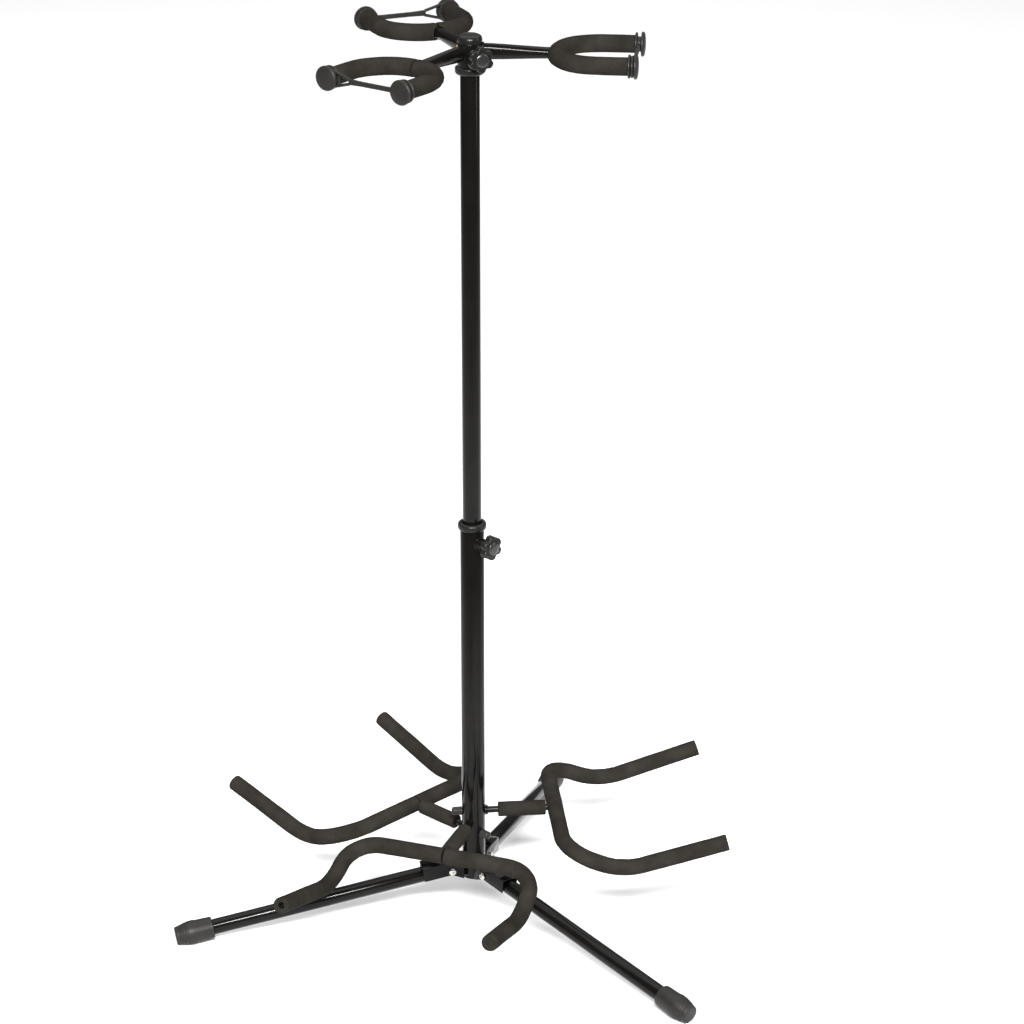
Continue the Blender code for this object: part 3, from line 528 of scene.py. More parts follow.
def bar_along(name, points, radius, hollow=False, cyclic=False):
    """Draw a curve through points, give it a round section and make it a mesh."""
    pick()
    bpy.ops.curve.primitive_nurbs_path_add()
    path = bpy.context.object
    path.name = name
    path.data.splines.clear()
    spline = path.data.splines.new("POLY")
    spline.points.add(len(points) - 1)
    for slot, point in zip(spline.points, points):
        slot.co = (*point, 1.0)
    spline.use_cyclic_u = cyclic
    path.data.dimensions = "3D"
    path.data.twist_mode = "Z_UP"
    path.data.bevel_depth = radius
    path.data.bevel_resolution = 6
    path.data.use_fill_caps = not hollow
    bpy.ops.object.convert(target="MESH")
    piece = bpy.context.object
    tidy_normals(piece)
    return piece


class Creases:
    """How uneven foam is, and how it folds where its rod bends."""

    station = 2.5 * MM     # between two rings of a sleeve
    pitch = 11 * MM        # between two creases
    drifts = 60            # changes of that pitch in a metre
    depth = 0.55 * MM
    lumps = 45             # in a metre
    lump = 0.25 * MM
    fade = 6 * MM          # smooth stretch at each end of a sleeve
    straight = 0.2 * MM    # least bow over six stations that counts as a bend


def foam_tube(name, points, radius, wall):
    """Soft sleeve along a line: uneven, and creased on the inside of its bends."""
    points = spaced(points, Creases.station)
    piece = bar_along(name, points, radius, hollow=True)
    tree = kdtree.KDTree(len(points))
    for index, point in enumerate(points):
        tree.insert(point, index)
    tree.balance()
    lengths = [0.0]
    for first, second in zip(points, points[1:]):
        lengths.append(lengths[-1] + (second - first).length)
    last = len(points) - 1
    for vertex in piece.data.vertices:
        centre, index, _ = tree.find(vertex.co)
        before, after = points[max(index - 3, 0)], points[min(index + 3, last)]
        bend = before + after - 2 * centre
        out = (vertex.co - centre).normalized()
        inside = max(0.0, out.dot(bend.normalized())) if bend.length > Creases.straight else 0.0
        along = lengths[index]
        drift = Creases.pitch * noise.noise(Vector((along * Creases.drifts, 0.0, radius * 1000)))
        fold = (0.5 + 0.5 * math.cos(math.tau * (along + drift) / Creases.pitch)) ** 4
        lump = noise.noise(vertex.co * Creases.lumps) * Creases.lump
        ends = min(1.0, along / Creases.fade, (lengths[last] - along) / Creases.fade)
        push = ends * (lump - Creases.depth * inside * inside * fold) - Creases.lump
        vertex.co += out * push
    modify(piece, "SOLIDIFY", thickness=wall, offset=-1.0, use_even_offset=True)
    soften(piece, 0.7 * MM, 3, 50)
    return piece


def weld_bead(radius, wire):
    """Ring of weld with the small ripples that the puddle leaves."""
    pick()
    bpy.ops.mesh.primitive_torus_add(major_radius=radius, minor_radius=wire,
                                     major_segments=96, minor_segments=10)
    bead = bpy.context.object
    for vertex in bead.data.vertices:
        angle = math.atan2(vertex.co.y, vertex.co.x)
        ripple = 0.012 * math.sin(WELD_RIPPLES * angle)
        vertex.co *= 1 + ripple + 0.02 * noise.noise(vertex.co * 300)
    return bead


# ---------------------------------------------------------------------- the mast

def pipe(name, outer, inner, bottom, top, sides=ROUND):
    """Hollow tube with its ends turned over a little."""
    piece = turned(name, ((outer, top), (outer, bottom), (inner, bottom), (inner, top)), sides, True)
    soften(piece, 0.35 * MM, 2)
    return piece


def make_mast(sizes):
    """Two mast tubes."""
    low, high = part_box("lower_tube")
    tube = pipe("mast_outer_tube", sizes.lower_radius, sizes.lower_bore, low.z, high.z)
    place(tube, standing())
    for number in THREE:
        drill = turned("rod_drill", ((ROD_HOLE, -DRILL_REACH), (ROD_HOLE, DRILL_REACH)), FINE)
        boolean(tube, place(drill, lying(joint_place(f"cradle_turn_{number}"))))
    hand_over(tube, "mast_outer_tube", "base", "steel", "steel", "lower_tube")
    low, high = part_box("upper_tube")
    bore = sizes.upper_radius - sizes.upper_wall
    tube = pipe("mast_inner_tube", sizes.upper_radius, bore, low.z, high.z)
    place(tube, standing())
    hand_over(tube, "mast_inner_tube", "mast_upper", "steel", "steel", "upper_tube")
    for node in ("tube_plug", "guide_bush"):
        carried = frame["nodes"][node].data.materials
        carried.clear()
        carried.append(finishes["plastic"])


def collar(name, sizes):
    """Collar ring with a lead-in chamfer and a sleeve that goes inside its tube."""
    bore = sizes.upper_radius + GAP
    sleeve = sizes.lower_bore - GAP
    ring = sizes.lower_radius + sizes.ring_lip
    top = GAP + sizes.ring_height
    profile = (
        (bore, top - 1.1 * MM),
        (bore + 0.8 * MM, top - 0.2 * MM),
        (bore + 1.5 * MM, top),
        (ring - 2.6 * MM, top),
        (ring - 1.2 * MM, top - 0.7 * MM),
        (ring - 0.3 * MM, top - 2.0 * MM),
        (ring, top - 3.4 * MM),
        (ring, GAP + 2.2 * MM),
        (ring - 0.7 * MM, GAP + 0.8 * MM),
        (sizes.lower_radius, GAP),
        (sleeve, GAP),
        (sleeve, -sizes.ring_sleeve),
        (bore, -sizes.ring_sleeve),
    )
    piece = turned(name, profile, ROUND, True)
    soften(piece, 0.35 * MM, 2, 20)
    return piece


def make_collars(sizes):
    """Collars at the mouth of the lower tube and under the head."""
    _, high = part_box("lower_tube")
    ring = place(collar("mid_collar", sizes), standing(high.z))
    hand_over(ring, "mid_collar", "base", "plastic", "plastic", "collar_bushing")
    low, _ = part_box("head_tube")
    flip = Matrix.Rotation(math.pi, 4, "X")
    ring = place(collar("head_ring", sizes), standing(low.z) @ flip)
    hand_over(ring, "head_ring", "head", "plastic", "plastic", "head_collar")


def top_cap(sizes):
    """Plug for the top of the head tube: a rounded shoulder and a sunk flat top."""
    plug = sizes.lower_bore - GAP
    edge, flat = sizes.lower_radius, sizes.cap_top
    shoulder = GAP + sizes.cap_height * 0.36
    top = GAP + sizes.cap_height
    profile = [(plug, -sizes.cap_plug), (plug, GAP), (edge, GAP), (edge, shoulder)]
    rise = top - shoulder - 0.6 * MM
    for step in range(1, 7):
        angle = QUARTER * step / 6
        profile.append((flat + (edge - flat) * math.cos(angle), shoulder + rise * math.sin(angle)))
    profile += [(flat - 0.3 * MM, top - 0.2 * MM), (flat - 0.9 * MM, top), (flat - 2.2 * MM, top),
                (flat - 2.6 * MM, top - 0.25 * MM), (0.8 * MM, top - 0.25 * MM)]
    return turned("top_cap", profile, ROUND)


def make_head(sizes, yokes):
    """Head tube, its top cap and the rivets beside it."""
    low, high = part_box("head_tube")
    tube = place(pipe("head_hub", sizes.lower_radius, sizes.lower_bore, low.z, high.z), standing())
    beads = []
    for index in range(3):
        azimuth = yokes.turn + index * math.tau / 3
        bead = weld_bead(yokes.hub_height / 2 + 0.2 * MM, 1.1 * MM)
        squeeze = Matrix.Diagonal((1, yokes.hub_width / yokes.hub_height, 1, 1))
        root = Matrix.Translation((sizes.lower_radius + 0.8 * MM, 0, 0))
        outward = lying(standing(joints["head_swivel"]["pos_m"][2], azimuth) @ root)
        beads.append(place(bead, outward @ squeeze))
    joined(tube, *beads)
    hand_over(tube, "head_hub", "head", "steel", "steel", "head_tube")
    cap = place(top_cap(sizes), standing(high.z))
    hand_over(cap, "top_cap", "head", "plastic", "plastic", "head_cap")
    rivets = []
    for azimuth in (yokes.turn + 0.5 * math.tau / 3, yokes.turn + 1.5 * math.tau / 3):
        head = turned("rivet", ((2.0 * MM, 0), (2.0 * MM, 0.5 * MM), (1.5 * MM, 1.1 * MM),
                                (0.6 * MM, 1.4 * MM)), FINE)
        sunk = Matrix.Translation((sizes.lower_radius - 0.2 * MM, 0, 0))
        rivets.append(place(head, lying(standing(high.z - 4.5 * MM, azimuth) @ sunk)))
    hand_over(joined(*rivets), "head_rivets", "head", "brass", "zinc")


# ------------------------------------------------------------------- clamp knobs

def star_knob(sizes, start):
    """Lobed knob on a ribbed neck, along Z."""
    back = start + sizes.neck_length
    front = back + sizes.thickness
    knob = turned("star", ((sizes.knob_radius, back), (sizes.knob_radius, front)), sizes.lobes * 16)
    for vertex in knob.data.vertices:
        angle = math.atan2(vertex.co.y, vertex.co.x)
        wave = (1 - math.cos(sizes.lobes * angle)) / 2
        share = 1 - 1.25 * sizes.lobe_depth / sizes.knob_radius * wave ** 2.2
        vertex.co.x *= share
        vertex.co.y *= share
    soften(knob, 2.0 * MM, 5, 40)
    base = sizes.neck_radius
    neck = turned("neck", (
        (base - 0.8 * MM, start),
        (base, start + 0.8 * MM),
        (base, start + 2.2 * MM),
        (base - 0.7 * MM, start + 2.8 * MM),
        (base - 0.7 * MM, start + 3.6 * MM),
        (base + 0.8 * MM, back - 1.2 * MM),
        (base + 2.6 * MM, back + 0.2 * MM),
        (base + 2.6 * MM, back + 2.0 * MM),
    ), FINE)
    rim = sizes.button_radius
    well = turned("well", ((rim + 2.4 * MM, front - 1 * MM), (rim + 2.0 * MM, front + 0.5 * MM),
                           (rim + 0.9 * MM, front + 0.7 * MM), (rim + 0.4 * MM, front + 0.1 * MM),
                           (rim - 1 * MM, front + 0.1 * MM)), FINE)
    return joined(knob, neck, well)


def make_clamp(prefix, body, sizes, mast):
    """Weld boss, bolt, knob and button of one clamp."""
    outward = lying(joint_place(f"{prefix}_knob_turn"))
    top = mast.lower_radius + sizes.boss_length
    bore = sizes.bolt_radius + RUN
    root = mast.lower_radius - 2.2 * MM
    boss = turned("boss", ((sizes.boss_radius, root), (sizes.boss_radius, top), (bore, top),
                           (bore, root)), FINE, True)
    soften(boss, 0.5 * MM, 2)
    bead = weld_bead(sizes.boss_radius + 0.2 * MM, 1.0 * MM)
    for vertex in bead.data.vertices:
        drop = mast.lower_radius - math.sqrt(max(0.0, mast.lower_radius ** 2 - vertex.co.y ** 2))
        vertex.co.z += mast.lower_radius - drop
    place(joined(boss, bead), outward)
    hand_over(boss, f"{prefix}_weld_nut", body, "steel", "steel", f"{prefix}_boss")
    start = top + GAP
    knob = place(star_knob(sizes, start), outward)
    knob_body = f"{prefix}_knob"
    hand_over(knob, f"{prefix}_star_knob", knob_body, "plastic", "plastic", f"{prefix}_knob")
    front = start + sizes.neck_length + sizes.thickness
    rim = sizes.button_radius
    high = sizes.button_height
    button = turned("button", ((rim, front - 0.5 * MM), (rim, front + 0.3 * high),
                               (0.93 * rim, front + 0.55 * high), (0.75 * rim, front + 0.8 * high),
                               (0.5 * rim, front + 0.94 * high), (0.2 * rim, front + high)), FINE)
    place(button, outward)
    hand_over(button, f"{prefix}_knob_button", knob_body, "button", "plastic")
    end = start + sizes.neck_length
    bolt = turned("bolt", ((sizes.bolt_radius - 0.6 * MM, mast.upper_radius + GAP),
                           (sizes.bolt_radius, mast.upper_radius + GAP + 0.6 * MM),
                           (sizes.bolt_radius, end)), FINE)
    place(bolt, outward)
    hand_over(bolt, f"{prefix}_clamp_bolt", knob_body, "zinc", "zinc", f"{prefix}_bolt")


# -------------------------------------------------------------------------- legs

def pivot_place(number, slope):
    """Return the place of a leg's pivot with X along the leg."""
    joint = joints[f"leg_fold_{number}"]
    azimuth = math.atan2(-joint["axis"][0], joint["axis"][1])
    turn = Matrix.Rotation(azimuth, 4, "Z") @ Matrix.Rotation(slope, 4, "Y")
    return Matrix.Translation(joint["pos_m"]) @ turn


def rubber_foot(sizes):
    """Barrel-shaped foot with grip grooves, its tube end at 0 and its nose along Z."""
    end = sizes.reach + GAP + sizes.foot_end
    start = end - sizes.foot_length
    bore = sizes.radius + GAP
    mouth = sizes.radius + sizes.foot_mouth
    bulge = sizes.radius + sizes.foot_bulge
    nose = sizes.radius + sizes.foot_nose
    profile = [(nose - 6 * MM, end), (nose - 1.6 * MM, end - 0.1 * MM), (nose - 0.4 * MM, end - 0.6 * MM),
               (nose, end - 1.4 * MM)]
    wide = start + 0.56 * sizes.foot_length
    for step in range(1, 13):
        share = step / 12
        height = (end - 1.4 * MM) * (1 - share) + wide * share
        edge = nose + (bulge - nose) * math.sin(QUARTER * share) ** 1.15
        profile.append((edge, height))
        if 2 <= step <= 8 and step % 2 == 0:
            profile += [(edge - 0.35 * MM, height - 0.3 * MM), (edge - 0.3 * MM, height - 0.9 * MM),
                        (edge + 0.1 * MM, height - 1.2 * MM)]
    profile += [(bulge, wide - 3 * MM), (bulge - 0.7 * MM, wide - 6 * MM),
                (mouth + 0.7 * MM, start + 3.4 * MM), (mouth + 0.5 * MM, start + 2.6 * MM),
                (mouth + 0.5 * MM, start + 0.6 * MM), (mouth, start), (bore, start),
                (bore, sizes.reach + GAP)]
    return turned("foot", profile[::-1], FOOT_SIDES)


def pivot_bolt(sizes):
    """Pan-head screw with a cross recess, and a lock nut on its far end."""
    outside = sizes.bracket_half + GAP
    rim = sizes.head_radius
    tall = sizes.head_height
    profile = [(sizes.bolt_radius, -outside - sizes.nut_height - 1 * MM), (sizes.bolt_radius, outside),
               (rim, outside), (rim, outside + PAN_FLAT * tall)]
    for step in range(1, 6):
        angle = QUARTER * step / 5
        profile.append((rim * (PAN_FLAT + (1 - PAN_FLAT) * math.cos(angle)),
                        outside + tall * (PAN_FLAT + (1 - PAN_FLAT) * math.sin(angle))))
    screw = turned("screw", profile, FINE)
    for turn in (0, QUARTER):
        pick()
        bpy.ops.mesh.primitive_cube_add(size=1, location=(0, 0, outside + tall),
                                        scale=(0.95 * rim, 0.22 * rim, 1.4 * tall), rotation=(0, 0, turn))
        cross = bpy.context.object
        bpy.ops.object.transform_apply(location=True, rotation=True, scale=True)
        soften(cross, 0.2 * MM, 2)
        boolean(screw, cross)
    corner = sizes.nut_across / math.sqrt(3)
    nut = turned("nut", ((corner * 0.94, -outside - sizes.nut_height + 1.2 * MM),
                         (corner, -outside - 2.8 * MM), (corner, -outside - 0.4 * MM),
                         (corner * 0.94, -outside)), 6)
    dome = turned("nut_collar", ((sizes.nut_across * 0.36, -outside - sizes.nut_height),
                                 (sizes.nut_across * 0.46, -outside - sizes.nut_height + 0.7 * MM),
                                 (sizes.nut_across * 0.47, -outside - 2.4 * MM)), FINE)
    return joined(screw, nut, dome)


def bracket_from(node):
    """Bracket in folded sheet: the frame's shape with its cut edges rounded."""
    piece = bpy.data.objects.new("bracket", frame["nodes"][node].data.copy())
    bpy.context.scene.collection.objects.link(piece)
    edit_all(piece)
    bpy.ops.mesh.remove_doubles(threshold=0.01 * MM)
    bpy.ops.mesh.dissolve_limited(angle_limit=math.radians(1.5))
    bpy.ops.object.mode_set(mode="OBJECT")
    soften(piece, 0.45 * MM, 3, 40)
    return piece


def make_legs(sizes):
    """Brackets, pivot bolts, leg tubes and feet."""
    tube = pipe("leg", sizes.radius, sizes.radius - sizes.wall, -sizes.heel, sizes.reach, MIDDLE)
    drill = turned("pivot_drill", ((PIVOT_HOLE, -DRILL_REACH), (PIVOT_HOLE, DRILL_REACH)), FINE)
    boolean(tube, place(drill, Matrix.Rotation(QUARTER, 4, "X")))
    foot = rubber_foot(sizes)
    bolt = pivot_bolt(sizes)
    for number in THREE:
        along = lying(pivot_place(number, sizes.slope))
        body = f"leg_{number}"
        set_down(tube, along, f"leg_{number}_tube", body, "steel", "steel", f"leg_tube_{number}")
        shoe = place(twin(foot, "shoe"), along)
        edit_all(shoe)
        bpy.ops.mesh.bisect(plane_co=(0, 0, 0), plane_no=(0, 0, 1), clear_inner=True, use_fill=True)
        bpy.ops.object.mode_set(mode="OBJECT")
        hand_over(shoe, f"leg_{number}_foot", body, "rubber", "rubber", f"foot_{number}")
        side = -1 if number == 3 else 1
        level = pivot_place(number, 0.0) @ Matrix.Rotation(-side * QUARTER, 4, "X")
        pin = f"leg_pivot_bolt_{number}"
        set_down(bolt, level, f"leg_{number}_pivot", "base", "zinc", "zinc", pin)
        node = f"leg_bracket_{number}"
        hand_over(bracket_from(node), f"leg_{number}_bracket", "base", "steel", "steel", node)
    for pattern in (tube, foot, bolt):
        bpy.data.objects.remove(pattern)


# ----------------------------------------------------------------------- cradles

def cradle_line(sizes):
    """Return half of a cradle's U, from the middle of its cross bar to its tip."""
    spread = sizes.spread * sizes.dip_at / sizes.depth
    return bent_points((
        (sizes.reach, sizes.seam / 2, 0),
        (sizes.reach, sizes.half_width, 0),
        (sizes.reach + sizes.dip_at, sizes.half_width + spread, -sizes.dip),
        (sizes.reach + sizes.depth, sizes.half_width + sizes.spread, sizes.rise),
    ), (sizes.corner_radius, sizes.dip_radius))


def hollow_end(piece, points, radius):
    """Bore a small hole into the end of a rod that shows inside its foam."""
    drill = turned("end_drill", ((radius, -6 * MM), (radius, 1 * MM)), FINE)
    boolean(piece, place(drill, end_place(points)))


def make_cradles(sizes, mast):
    """Three bent rods with foam, sleeve, washers and end cap."""
    line = cradle_line(sizes)
    back = (line[-2] - line[-1]).normalized()
    bare = line[:-1] + [line[-1] + back * sizes.end_cover]
    bore = sizes.rod_radius + RUN
    hoop = bar_along("hoop", mirrored(bare)[::-1] + bare, sizes.rod_radius)
    for end in (bare, mirrored(bare)):
        hollow_end(hoop, end, sizes.rod_radius - 1.1 * MM)
    inner = mast.lower_radius + GAP
    tail = inner + sizes.tail
    stem = turned("stem", ((sizes.rod_radius, -tail), (sizes.rod_radius, sizes.reach)), FINE)
    boolean(hoop, place(stem, lying()), "UNION")
    wall = sizes.foam_radius - bore
    thick = sizes.pad_radius - bore
    pads = {"left": foam_tube("pad", line, sizes.pad_radius, thick)}
    pads["right"] = foam_tube("pad", mirrored(line), sizes.pad_radius, thick)
    for pad in pads.values():
        notch = turned("notch", ((bore, sizes.reach - 2 * sizes.pad_radius), (bore, sizes.reach)), FINE)
        boolean(pad, place(notch, lying()))
    lid = turned("lid", ((bore + 0.1 * MM, -2.4 * MM), (bore + 0.1 * MM, -0.9 * MM),
                         (bore - 0.6 * MM, -0.5 * MM), (0.5 * MM, -0.4 * MM)), FINE)
    joined(pads["left"], place(lid, end_place(line)))
    washer = washer_pair(sizes, inner, bore)
    start = inner + sizes.bare_inner
    end = sizes.reach - sizes.foam_radius - sizes.bare_outer
    stem_line = [Vector((start, 0, 0)), Vector((end, 0, 0))]
    sleeve = foam_tube("sleeve", stem_line, sizes.foam_radius, wall)
    cap = place(end_cap(sizes, inner, tail, bore), lying())
    patterns = [hoop, pads["left"], pads["right"], washer, sleeve, cap]
    for number in THREE:
        there = joint_place(f"cradle_turn_{number}")
        body = f"cradle_{number}"
        set_down(hoop, there, f"{body}_rod", body, "steel", "steel", f"cradle_rod_{number}")
        for side in SIDES:
            set_down_pad(pads[side], there, f"{body}_pad_{side}", body, f"cradle_foam_{number}_{side}")
        set_down_pad(sleeve, there, f"{body}_stem_pad", body, f"cradle_sleeve_{number}")
        set_down(washer, there, f"{body}_washers", body, "steel", "steel", f"cradle_washer_{number}")
        set_down(cap, there, f"{body}_end_cap", body, "rubber", "rubber", f"cradle_end_cap_{number}")
    for pattern in patterns:
        bpy.data.objects.remove(pattern)


def washer_pair(sizes, inner, bore):
    """Flat washer and a pressed collar beside it, on the rod at the mast."""
    rim = sizes.washer_radius
    pair = turned("washers", (
        (bore, inner),
        (rim, inner),
        (rim, inner + 1.2 * MM),
        (rim - 1.3 * MM, inner + 1.4 * MM),
        (rim - 1.3 * MM, inner + 1.7 * MM),
        (rim - 0.5 * MM, inner + 1.9 * MM),
        (rim - 0.5 * MM, inner + 3.0 * MM),
        (bore, inner + 3.0 * MM),
    ), FINE, True)
    soften(pair, 0.25 * MM, 2)
    return place(pair, lying())


def end_cap(sizes, inner, tail, bore):
    """Rubber cap pushed on the rod's end behind the mast, with its mouth at the mast."""
    rim = bore + sizes.cap_wall
    outer = inner + 12 * MM
    return turned("cap", (
        (bore, -tail - GAP),
        (bore, -inner),
        (rim - 0.2 * MM, -inner),
        (rim, -inner - 0.4 * MM),
        (rim, -inner - 1.6 * MM),
        (rim - 0.3 * MM, -inner - 2.0 * MM),
        (rim - 0.3 * MM, -outer + 2.4 * MM),
        (rim - 0.9 * MM, -outer + 1.0 * MM),
        (rim - 2.2 * MM, -outer + 0.2 * MM),
        (rim - 3.6 * MM, -outer),
    ), FINE)


# ------------------------------------------------------------------------- yokes

def yoke_arm(sizes, mast):
    """Tube pressed flat at the head and round at the yoke, welded on both ends."""
    start = mast.lower_radius - 1.5 * MM
    stretch = sizes.reach - start
    pick()
    bpy.ops.mesh.primitive_circle_add(vertices=FINE, radius=1.0, fill_type="NGON")
    arm = bpy.context.object
    edit_all(arm)
    wide, tall = sizes.hub_height / 2, sizes.hub_width / 2
    bpy.ops.transform.resize(value=(wide, tall, 1), center_override=(0, 0, 0))
    bpy.ops.transform.translate(value=(0, 0, start))
    here = start
    for share in (0.12, 0.3, 0.5, 0.7, 0.85, 1.0):
        ease = share * share * (3 - 2 * share)
        next_wide = sizes.hub_height / 2 * (1 - ease) + sizes.arm_radius * ease
        next_tall = sizes.hub_width / 2 * (1 - ease) + sizes.arm_radius * ease
        there = start + stretch * share
        bpy.ops.mesh.extrude_region_move(TRANSFORM_OT_translate={"value": (0, 0, there - here)})
        bpy.ops.transform.resize(value=(next_wide / wide, next_tall / tall, 1),
                                 center_override=(0, 0, there))
        wide, tall, here = next_wide, next_tall, there
    bpy.ops.object.mode_set(mode="OBJECT")
    tidy_normals(arm)
    return place(arm, lying())


def yoke_cap(sizes):
    """Rubber end cap along Z: flange, grooved neck and a dished face with a raised rim."""
    bore = sizes.rod_radius + GAP
    groove = sizes.flange + sizes.neck
    top = groove + sizes.face
    face, rim, neck = sizes.face_radius, sizes.flange_radius, sizes.neck_radius
    profile = [
        (bore, sizes.stub + GAP),
        (bore, 0),
        (rim - 0.6 * MM, 0),
        (rim, 0.6 * MM),
        (rim, sizes.flange - 0.6 * MM),
        (rim - 0.7 * MM, sizes.flange),
        (neck + 0.6 * MM, sizes.flange + 0.1 * MM),
        (neck, sizes.flange + 0.7 * MM),
        (neck, groove - 0.7 * MM),
        (neck + 0.6 * MM, groove - 0.1 * MM),
        (face - 0.6 * MM, groove),
        (face, groove + 0.7 * MM),
        (face, groove + 1.9 * MM),
        (face - 0.5 * MM, groove + 2.9 * MM),
        (face - 1.6 * MM, top - 1.1 * MM),
        (face - 2.6 * MM, top - 0.8 * MM),
        (face - 3.1 * MM, top - 1.0 * MM),
        (face - 3.9 * MM, top - 0.7 * MM),
        (face * 0.5, top - 0.2 * MM),
        (face * 0.25, top),
        (0.8 * MM, top),
    ]
    return turned("cap", profile, MIDDLE)


def rubber_strap(sizes, span):
    """End cap, band and slotted loop moulded as one, the band running towards -Y."""
    groove = sizes.flange + sizes.neck / 2
    cap = yoke_cap(sizes)
    wire = 0.35 * sizes.strap_width    # radius of the loop's bar before it is pressed flat
    outer = sizes.neck_radius + GAP + wire
    near, far = -sizes.rod_radius, sizes.loop - span
    pick()
    bpy.ops.mesh.primitive_cube_add(size=1, location=(0, (near + far) / 2, groove),
                                    scale=(sizes.strap_width, near - far, sizes.strap_thickness))
    band = bpy.context.object
    bpy.ops.object.transform_apply(location=True, rotation=True, scale=True)
    edit_all(band)
    bpy.ops.mesh.subdivide(number_cuts=7)
    bpy.ops.object.mode_set(mode="OBJECT")
    for vertex in band.data.vertices:
        share = (vertex.co.y - far) / (near - far)
        flare = 1 + 0.7 * max(0.0, abs(2 * share - 1) - 0.6)
        vertex.co.x *= flare
    soften(band, 0.7 * MM, 3, 60)
    inner = 0.3 * outer
    centre = sizes.loop - inner - span
    points = []
    for middle, reach, first in ((centre, inner, 0.0), (-span, outer, math.pi)):
        for step in range(HALF_TURN_STEPS + 1):
            angle = first + math.pi * step / HALF_TURN_STEPS
            points.append(Vector((reach * math.cos(angle), middle + reach * math.sin(angle), groove)))
    loop = bar_along("loop", points, wire, cyclic=True)
    for vertex in loop.data.vertices:
        vertex.co.z = groove + (vertex.co.z - groove) * sizes.strap_thickness / (2 * wire)
    boolean(band, loop, "UNION")
    return joined(cap, band)


def make_yokes(sizes, mast):
    """Three arms with their U-shaped rods, foam, caps and straps."""
    tip = sizes.reach + sizes.depth
    line = bent_points(((sizes.reach, sizes.seam / 2, 0), (sizes.reach, sizes.half_width, 0),
                        (tip, sizes.half_width, 0)), (sizes.corner_radius,))
    bare = line[:-1] + [line[-1] + Vector((GAP + sizes.stub, 0, 0))]
    rod = bar_along("yoke", mirrored(bare)[::-1] + bare, sizes.rod_radius)
    boolean(rod, yoke_arm(sizes, mast), "UNION")
    wall = sizes.foam_radius - sizes.rod_radius - RUN
    pads = {"left": foam_tube("pad", line, sizes.foam_radius, wall)}
    pads["right"] = foam_tube("pad", mirrored(line), sizes.foam_radius, wall)
    for pad in pads.values():
        hole = sizes.arm_radius + 2 * RUN
        notch = turned("notch", ((hole, sizes.reach - 2 * sizes.foam_radius), (hole, sizes.reach)), FINE)
        boolean(pad, place(notch, lying()))
    cap = yoke_cap(sizes)
    strap = rubber_strap(sizes, 2 * sizes.half_width)
    level = joints["head_swivel"]["pos_m"][2]
    for number in THREE:
        there = standing(level, sizes.turn + (number - 1) * math.tau / 3)
        yoke = f"yoke_{number}"
        set_down(rod, there, f"{yoke}_arm", "head", "steel", "steel", f"yoke_frame_{number}")
        for side in SIDES:
            set_down_pad(pads[side], there, f"{yoke}_pad_{side}", "head", f"yoke_foam_{number}_{side}")
        right = lying(there @ Matrix.Translation((tip + GAP, -sizes.half_width, 0)))
        set_down(cap, right, f"{yoke}_cap", "head", "rubber", "rubber", f"yoke_cap_{number}")
        left = lying(there @ Matrix.Translation((tip + GAP, sizes.half_width, 0)))
        set_down(strap, left, f"{yoke}_strap", "head", "rubber", "rubber", f"yoke_strap_{number}")
    for pattern in (rod, pads["left"], pads["right"], cap, strap):
        bpy.data.objects.remove(pattern)


# ------------------------------------------------------------------------- stage

def make_stage():
    """Floor, soft lights, sky and camera."""
    pick()
    bpy.ops.mesh.primitive_plane_add(size=FLOOR_SIZE)
    floor = bpy.context.object
    floor.name = "studio_floor"
    floor.data.materials.append(finishes["floor"])
    world = bpy.data.worlds.new("studio_sky")
    world.use_nodes = True
    sky = world.node_tree.nodes["Background"]
    sky.inputs["Color"].default_value = (1.0, 1.0, 1.0, 1.0)
    sky.inputs["Strength"].default_value = SKY_STRENGTH
    bpy.context.scene.world = world
    for name, spot, aim, size, power, spread in LIGHTS:
        bpy.ops.object.light_add(type="AREA", location=spot)
        light = bpy.context.object
        light.name = name
        light.data.shape = "RECTANGLE"
        light.data.size = size[0]
        light.data.size_y = size[1]
        light.data.energy = power
        light.data.spread = math.radians(spread)
        light.rotation_euler = (Vector(aim) - Vector(spot)).to_track_quat("-Z", "Y").to_euler()
    bpy.ops.object.camera_add(location=CAMERA_SPOT)
    camera = bpy.context.object
    camera.name = "stand_camera"
    camera.rotation_euler = (CAMERA_TILT, 0.0, CAMERA_PAN)
    camera.data.sensor_width = CAMERA_SENSOR
    camera.data.lens = CAMERA_LENS
    camera.data.clip_end = 100.0
    bpy.context.scene.camera = camera
    bpy.context.scene.view_settings.view_transform = "Standard"


# --------------------------------------------------------------------- operators

class StandOperator:
    """Shared base of the operators that add pieces of the stand."""

    bl_options = {"REGISTER", "UNDO"}


class STAND_OT_stage(StandOperator, Operator):
    """Add the floor, the lights and the camera"""

    bl_idname = "guitar_stand.stage"
    bl_label = "Stage"

    def execute(self, context):
        make_stage()
        return {"FINISHED"}


class STAND_OT_mast(StandOperator, Operator):
    """Add the two mast tubes"""

    bl_idname = "guitar_stand.mast"
    bl_label = "Mast Tubes"

    def execute(self, context):
        make_mast(context.scene.stand_mast)
        return {"FINISHED"}


class STAND_OT_collars(StandOperator, Operator):
    """Add the collars of the mast and the head"""

    bl_idname = "guitar_stand.collars"
    bl_label = "Collars"

    def execute(self, context):
        make_collars(context.scene.stand_mast)
        return {"FINISHED"}


class STAND_OT_head(StandOperator, Operator):
    """Add the head tube, its cap and its rivets"""

    bl_idname = "guitar_stand.head"
    bl_label = "Head"

    def execute(self, context):
        make_head(context.scene.stand_mast, context.scene.stand_yokes)
        return {"FINISHED"}


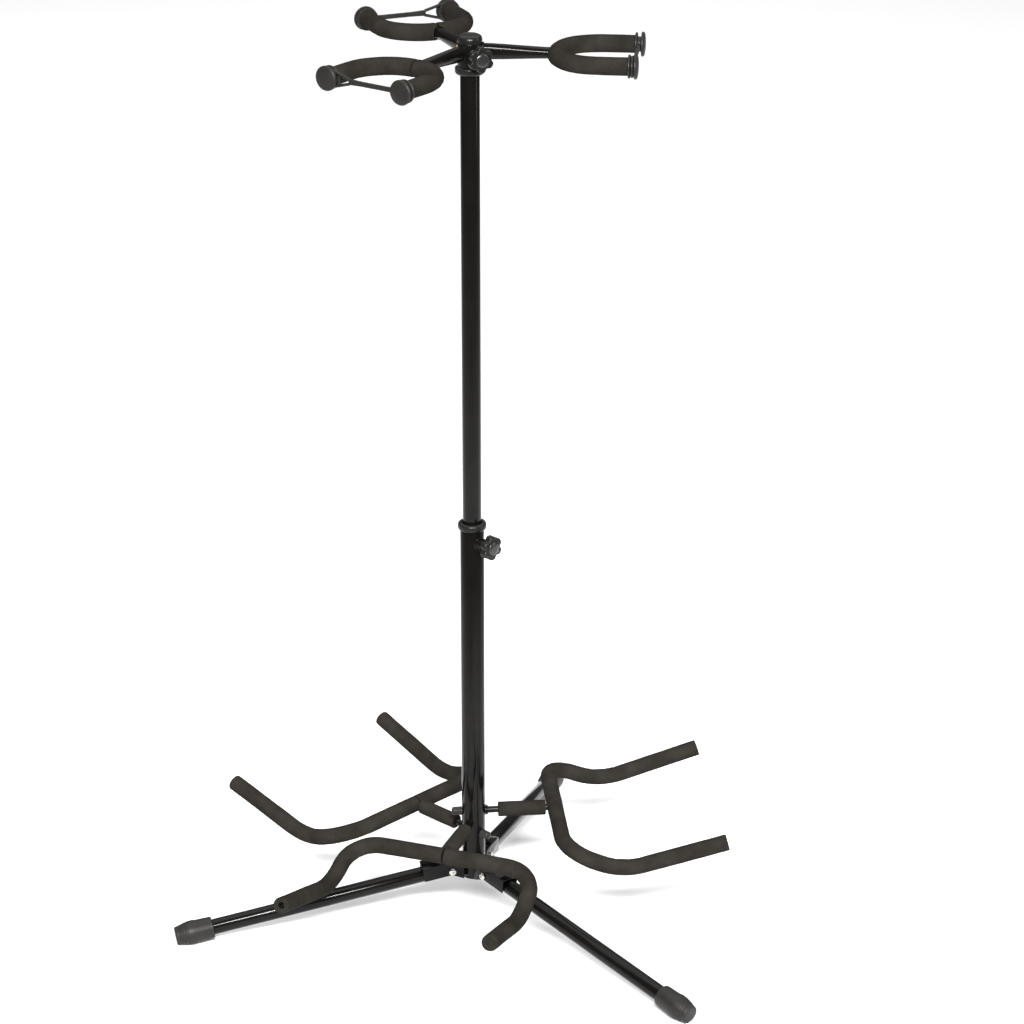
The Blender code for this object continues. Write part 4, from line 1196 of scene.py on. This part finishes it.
class STAND_OT_clamps(StandOperator, Operator):
    """Add both clamp knobs with their bolts and bosses"""

    bl_idname = "guitar_stand.clamps"
    bl_label = "Clamp Knobs"

    def execute(self, context):
        scene = context.scene
        make_clamp("height", "base", scene.stand_knobs, scene.stand_mast)
        make_clamp("head", "head", scene.stand_knobs, scene.stand_mast)
        return {"FINISHED"}


class STAND_OT_legs(StandOperator, Operator):
    """Add the legs with their brackets, bolts and feet"""

    bl_idname = "guitar_stand.legs"
    bl_label = "Legs"

    def execute(self, context):
        make_legs(context.scene.stand_legs)
        return {"FINISHED"}


class STAND_OT_cradles(StandOperator, Operator):
    """Add the padded cradles for the guitar bodies"""

    bl_idname = "guitar_stand.cradles"
    bl_label = "Cradles"

    def execute(self, context):
        make_cradles(context.scene.stand_cradles, context.scene.stand_mast)
        return {"FINISHED"}


class STAND_OT_yokes(StandOperator, Operator):
    """Add the padded yokes for the guitar necks"""

    bl_idname = "guitar_stand.yokes"
    bl_label = "Yokes"

    def execute(self, context):
        make_yokes(context.scene.stand_yokes, context.scene.stand_mast)
        return {"FINISHED"}


OPERATORS = (STAND_OT_stage, STAND_OT_mast, STAND_OT_collars, STAND_OT_head, STAND_OT_clamps,
             STAND_OT_legs, STAND_OT_cradles, STAND_OT_yokes)
GROUPS = {"stand_mast": MastSizes, "stand_knobs": KnobSizes, "stand_legs": LegSizes,
          "stand_cradles": CradleSizes, "stand_yokes": YokeSizes, "stand_finishes": Finishes}


class STAND_PT_sidebar(Panel):
    """Lists the pieces of the stand and the sizes they are made to"""

    bl_idname = "STAND_PT_sidebar"
    bl_label = "Guitar Stand"
    bl_space_type = "VIEW_3D"
    bl_region_type = "UI"
    bl_category = "Guitar Stand"

    def draw(self, context):
        column = self.layout.column()
        for operator in OPERATORS:
            column.operator(operator.bl_idname)
        for group in GROUPS:
            settings = getattr(context.scene, group)
            for name in settings.__annotations__:
                column.prop(settings, name)


def register():
    """Register the classes and hang the settings on the scene."""
    for group in GROUPS.values():
        bpy.utils.register_class(group)
    for name, group in GROUPS.items():
        setattr(bpy.types.Scene, name, PointerProperty(type=group))
    for operator in OPERATORS:
        bpy.utils.register_class(operator)
    bpy.utils.register_class(STAND_PT_sidebar)


def unregister():
    """Take the settings and the classes away again."""
    bpy.utils.unregister_class(STAND_PT_sidebar)
    for operator in reversed(OPERATORS):
        bpy.utils.unregister_class(operator)
    for name in GROUPS:
        delattr(bpy.types.Scene, name)
    for group in reversed(GROUPS.values()):
        bpy.utils.unregister_class(group)


finishes = {}


def main():
    """Register the settings and build every piece."""
    register()
    finishes.update(make_finishes(bpy.context.scene.stand_finishes))
    bpy.ops.guitar_stand.stage()
    bpy.ops.guitar_stand.mast()
    bpy.ops.guitar_stand.collars()
    bpy.ops.guitar_stand.head()
    bpy.ops.guitar_stand.clamps()
    bpy.ops.guitar_stand.legs()
    bpy.ops.guitar_stand.cradles()
    bpy.ops.guitar_stand.yokes()


if __name__ == "__main__":
    main()
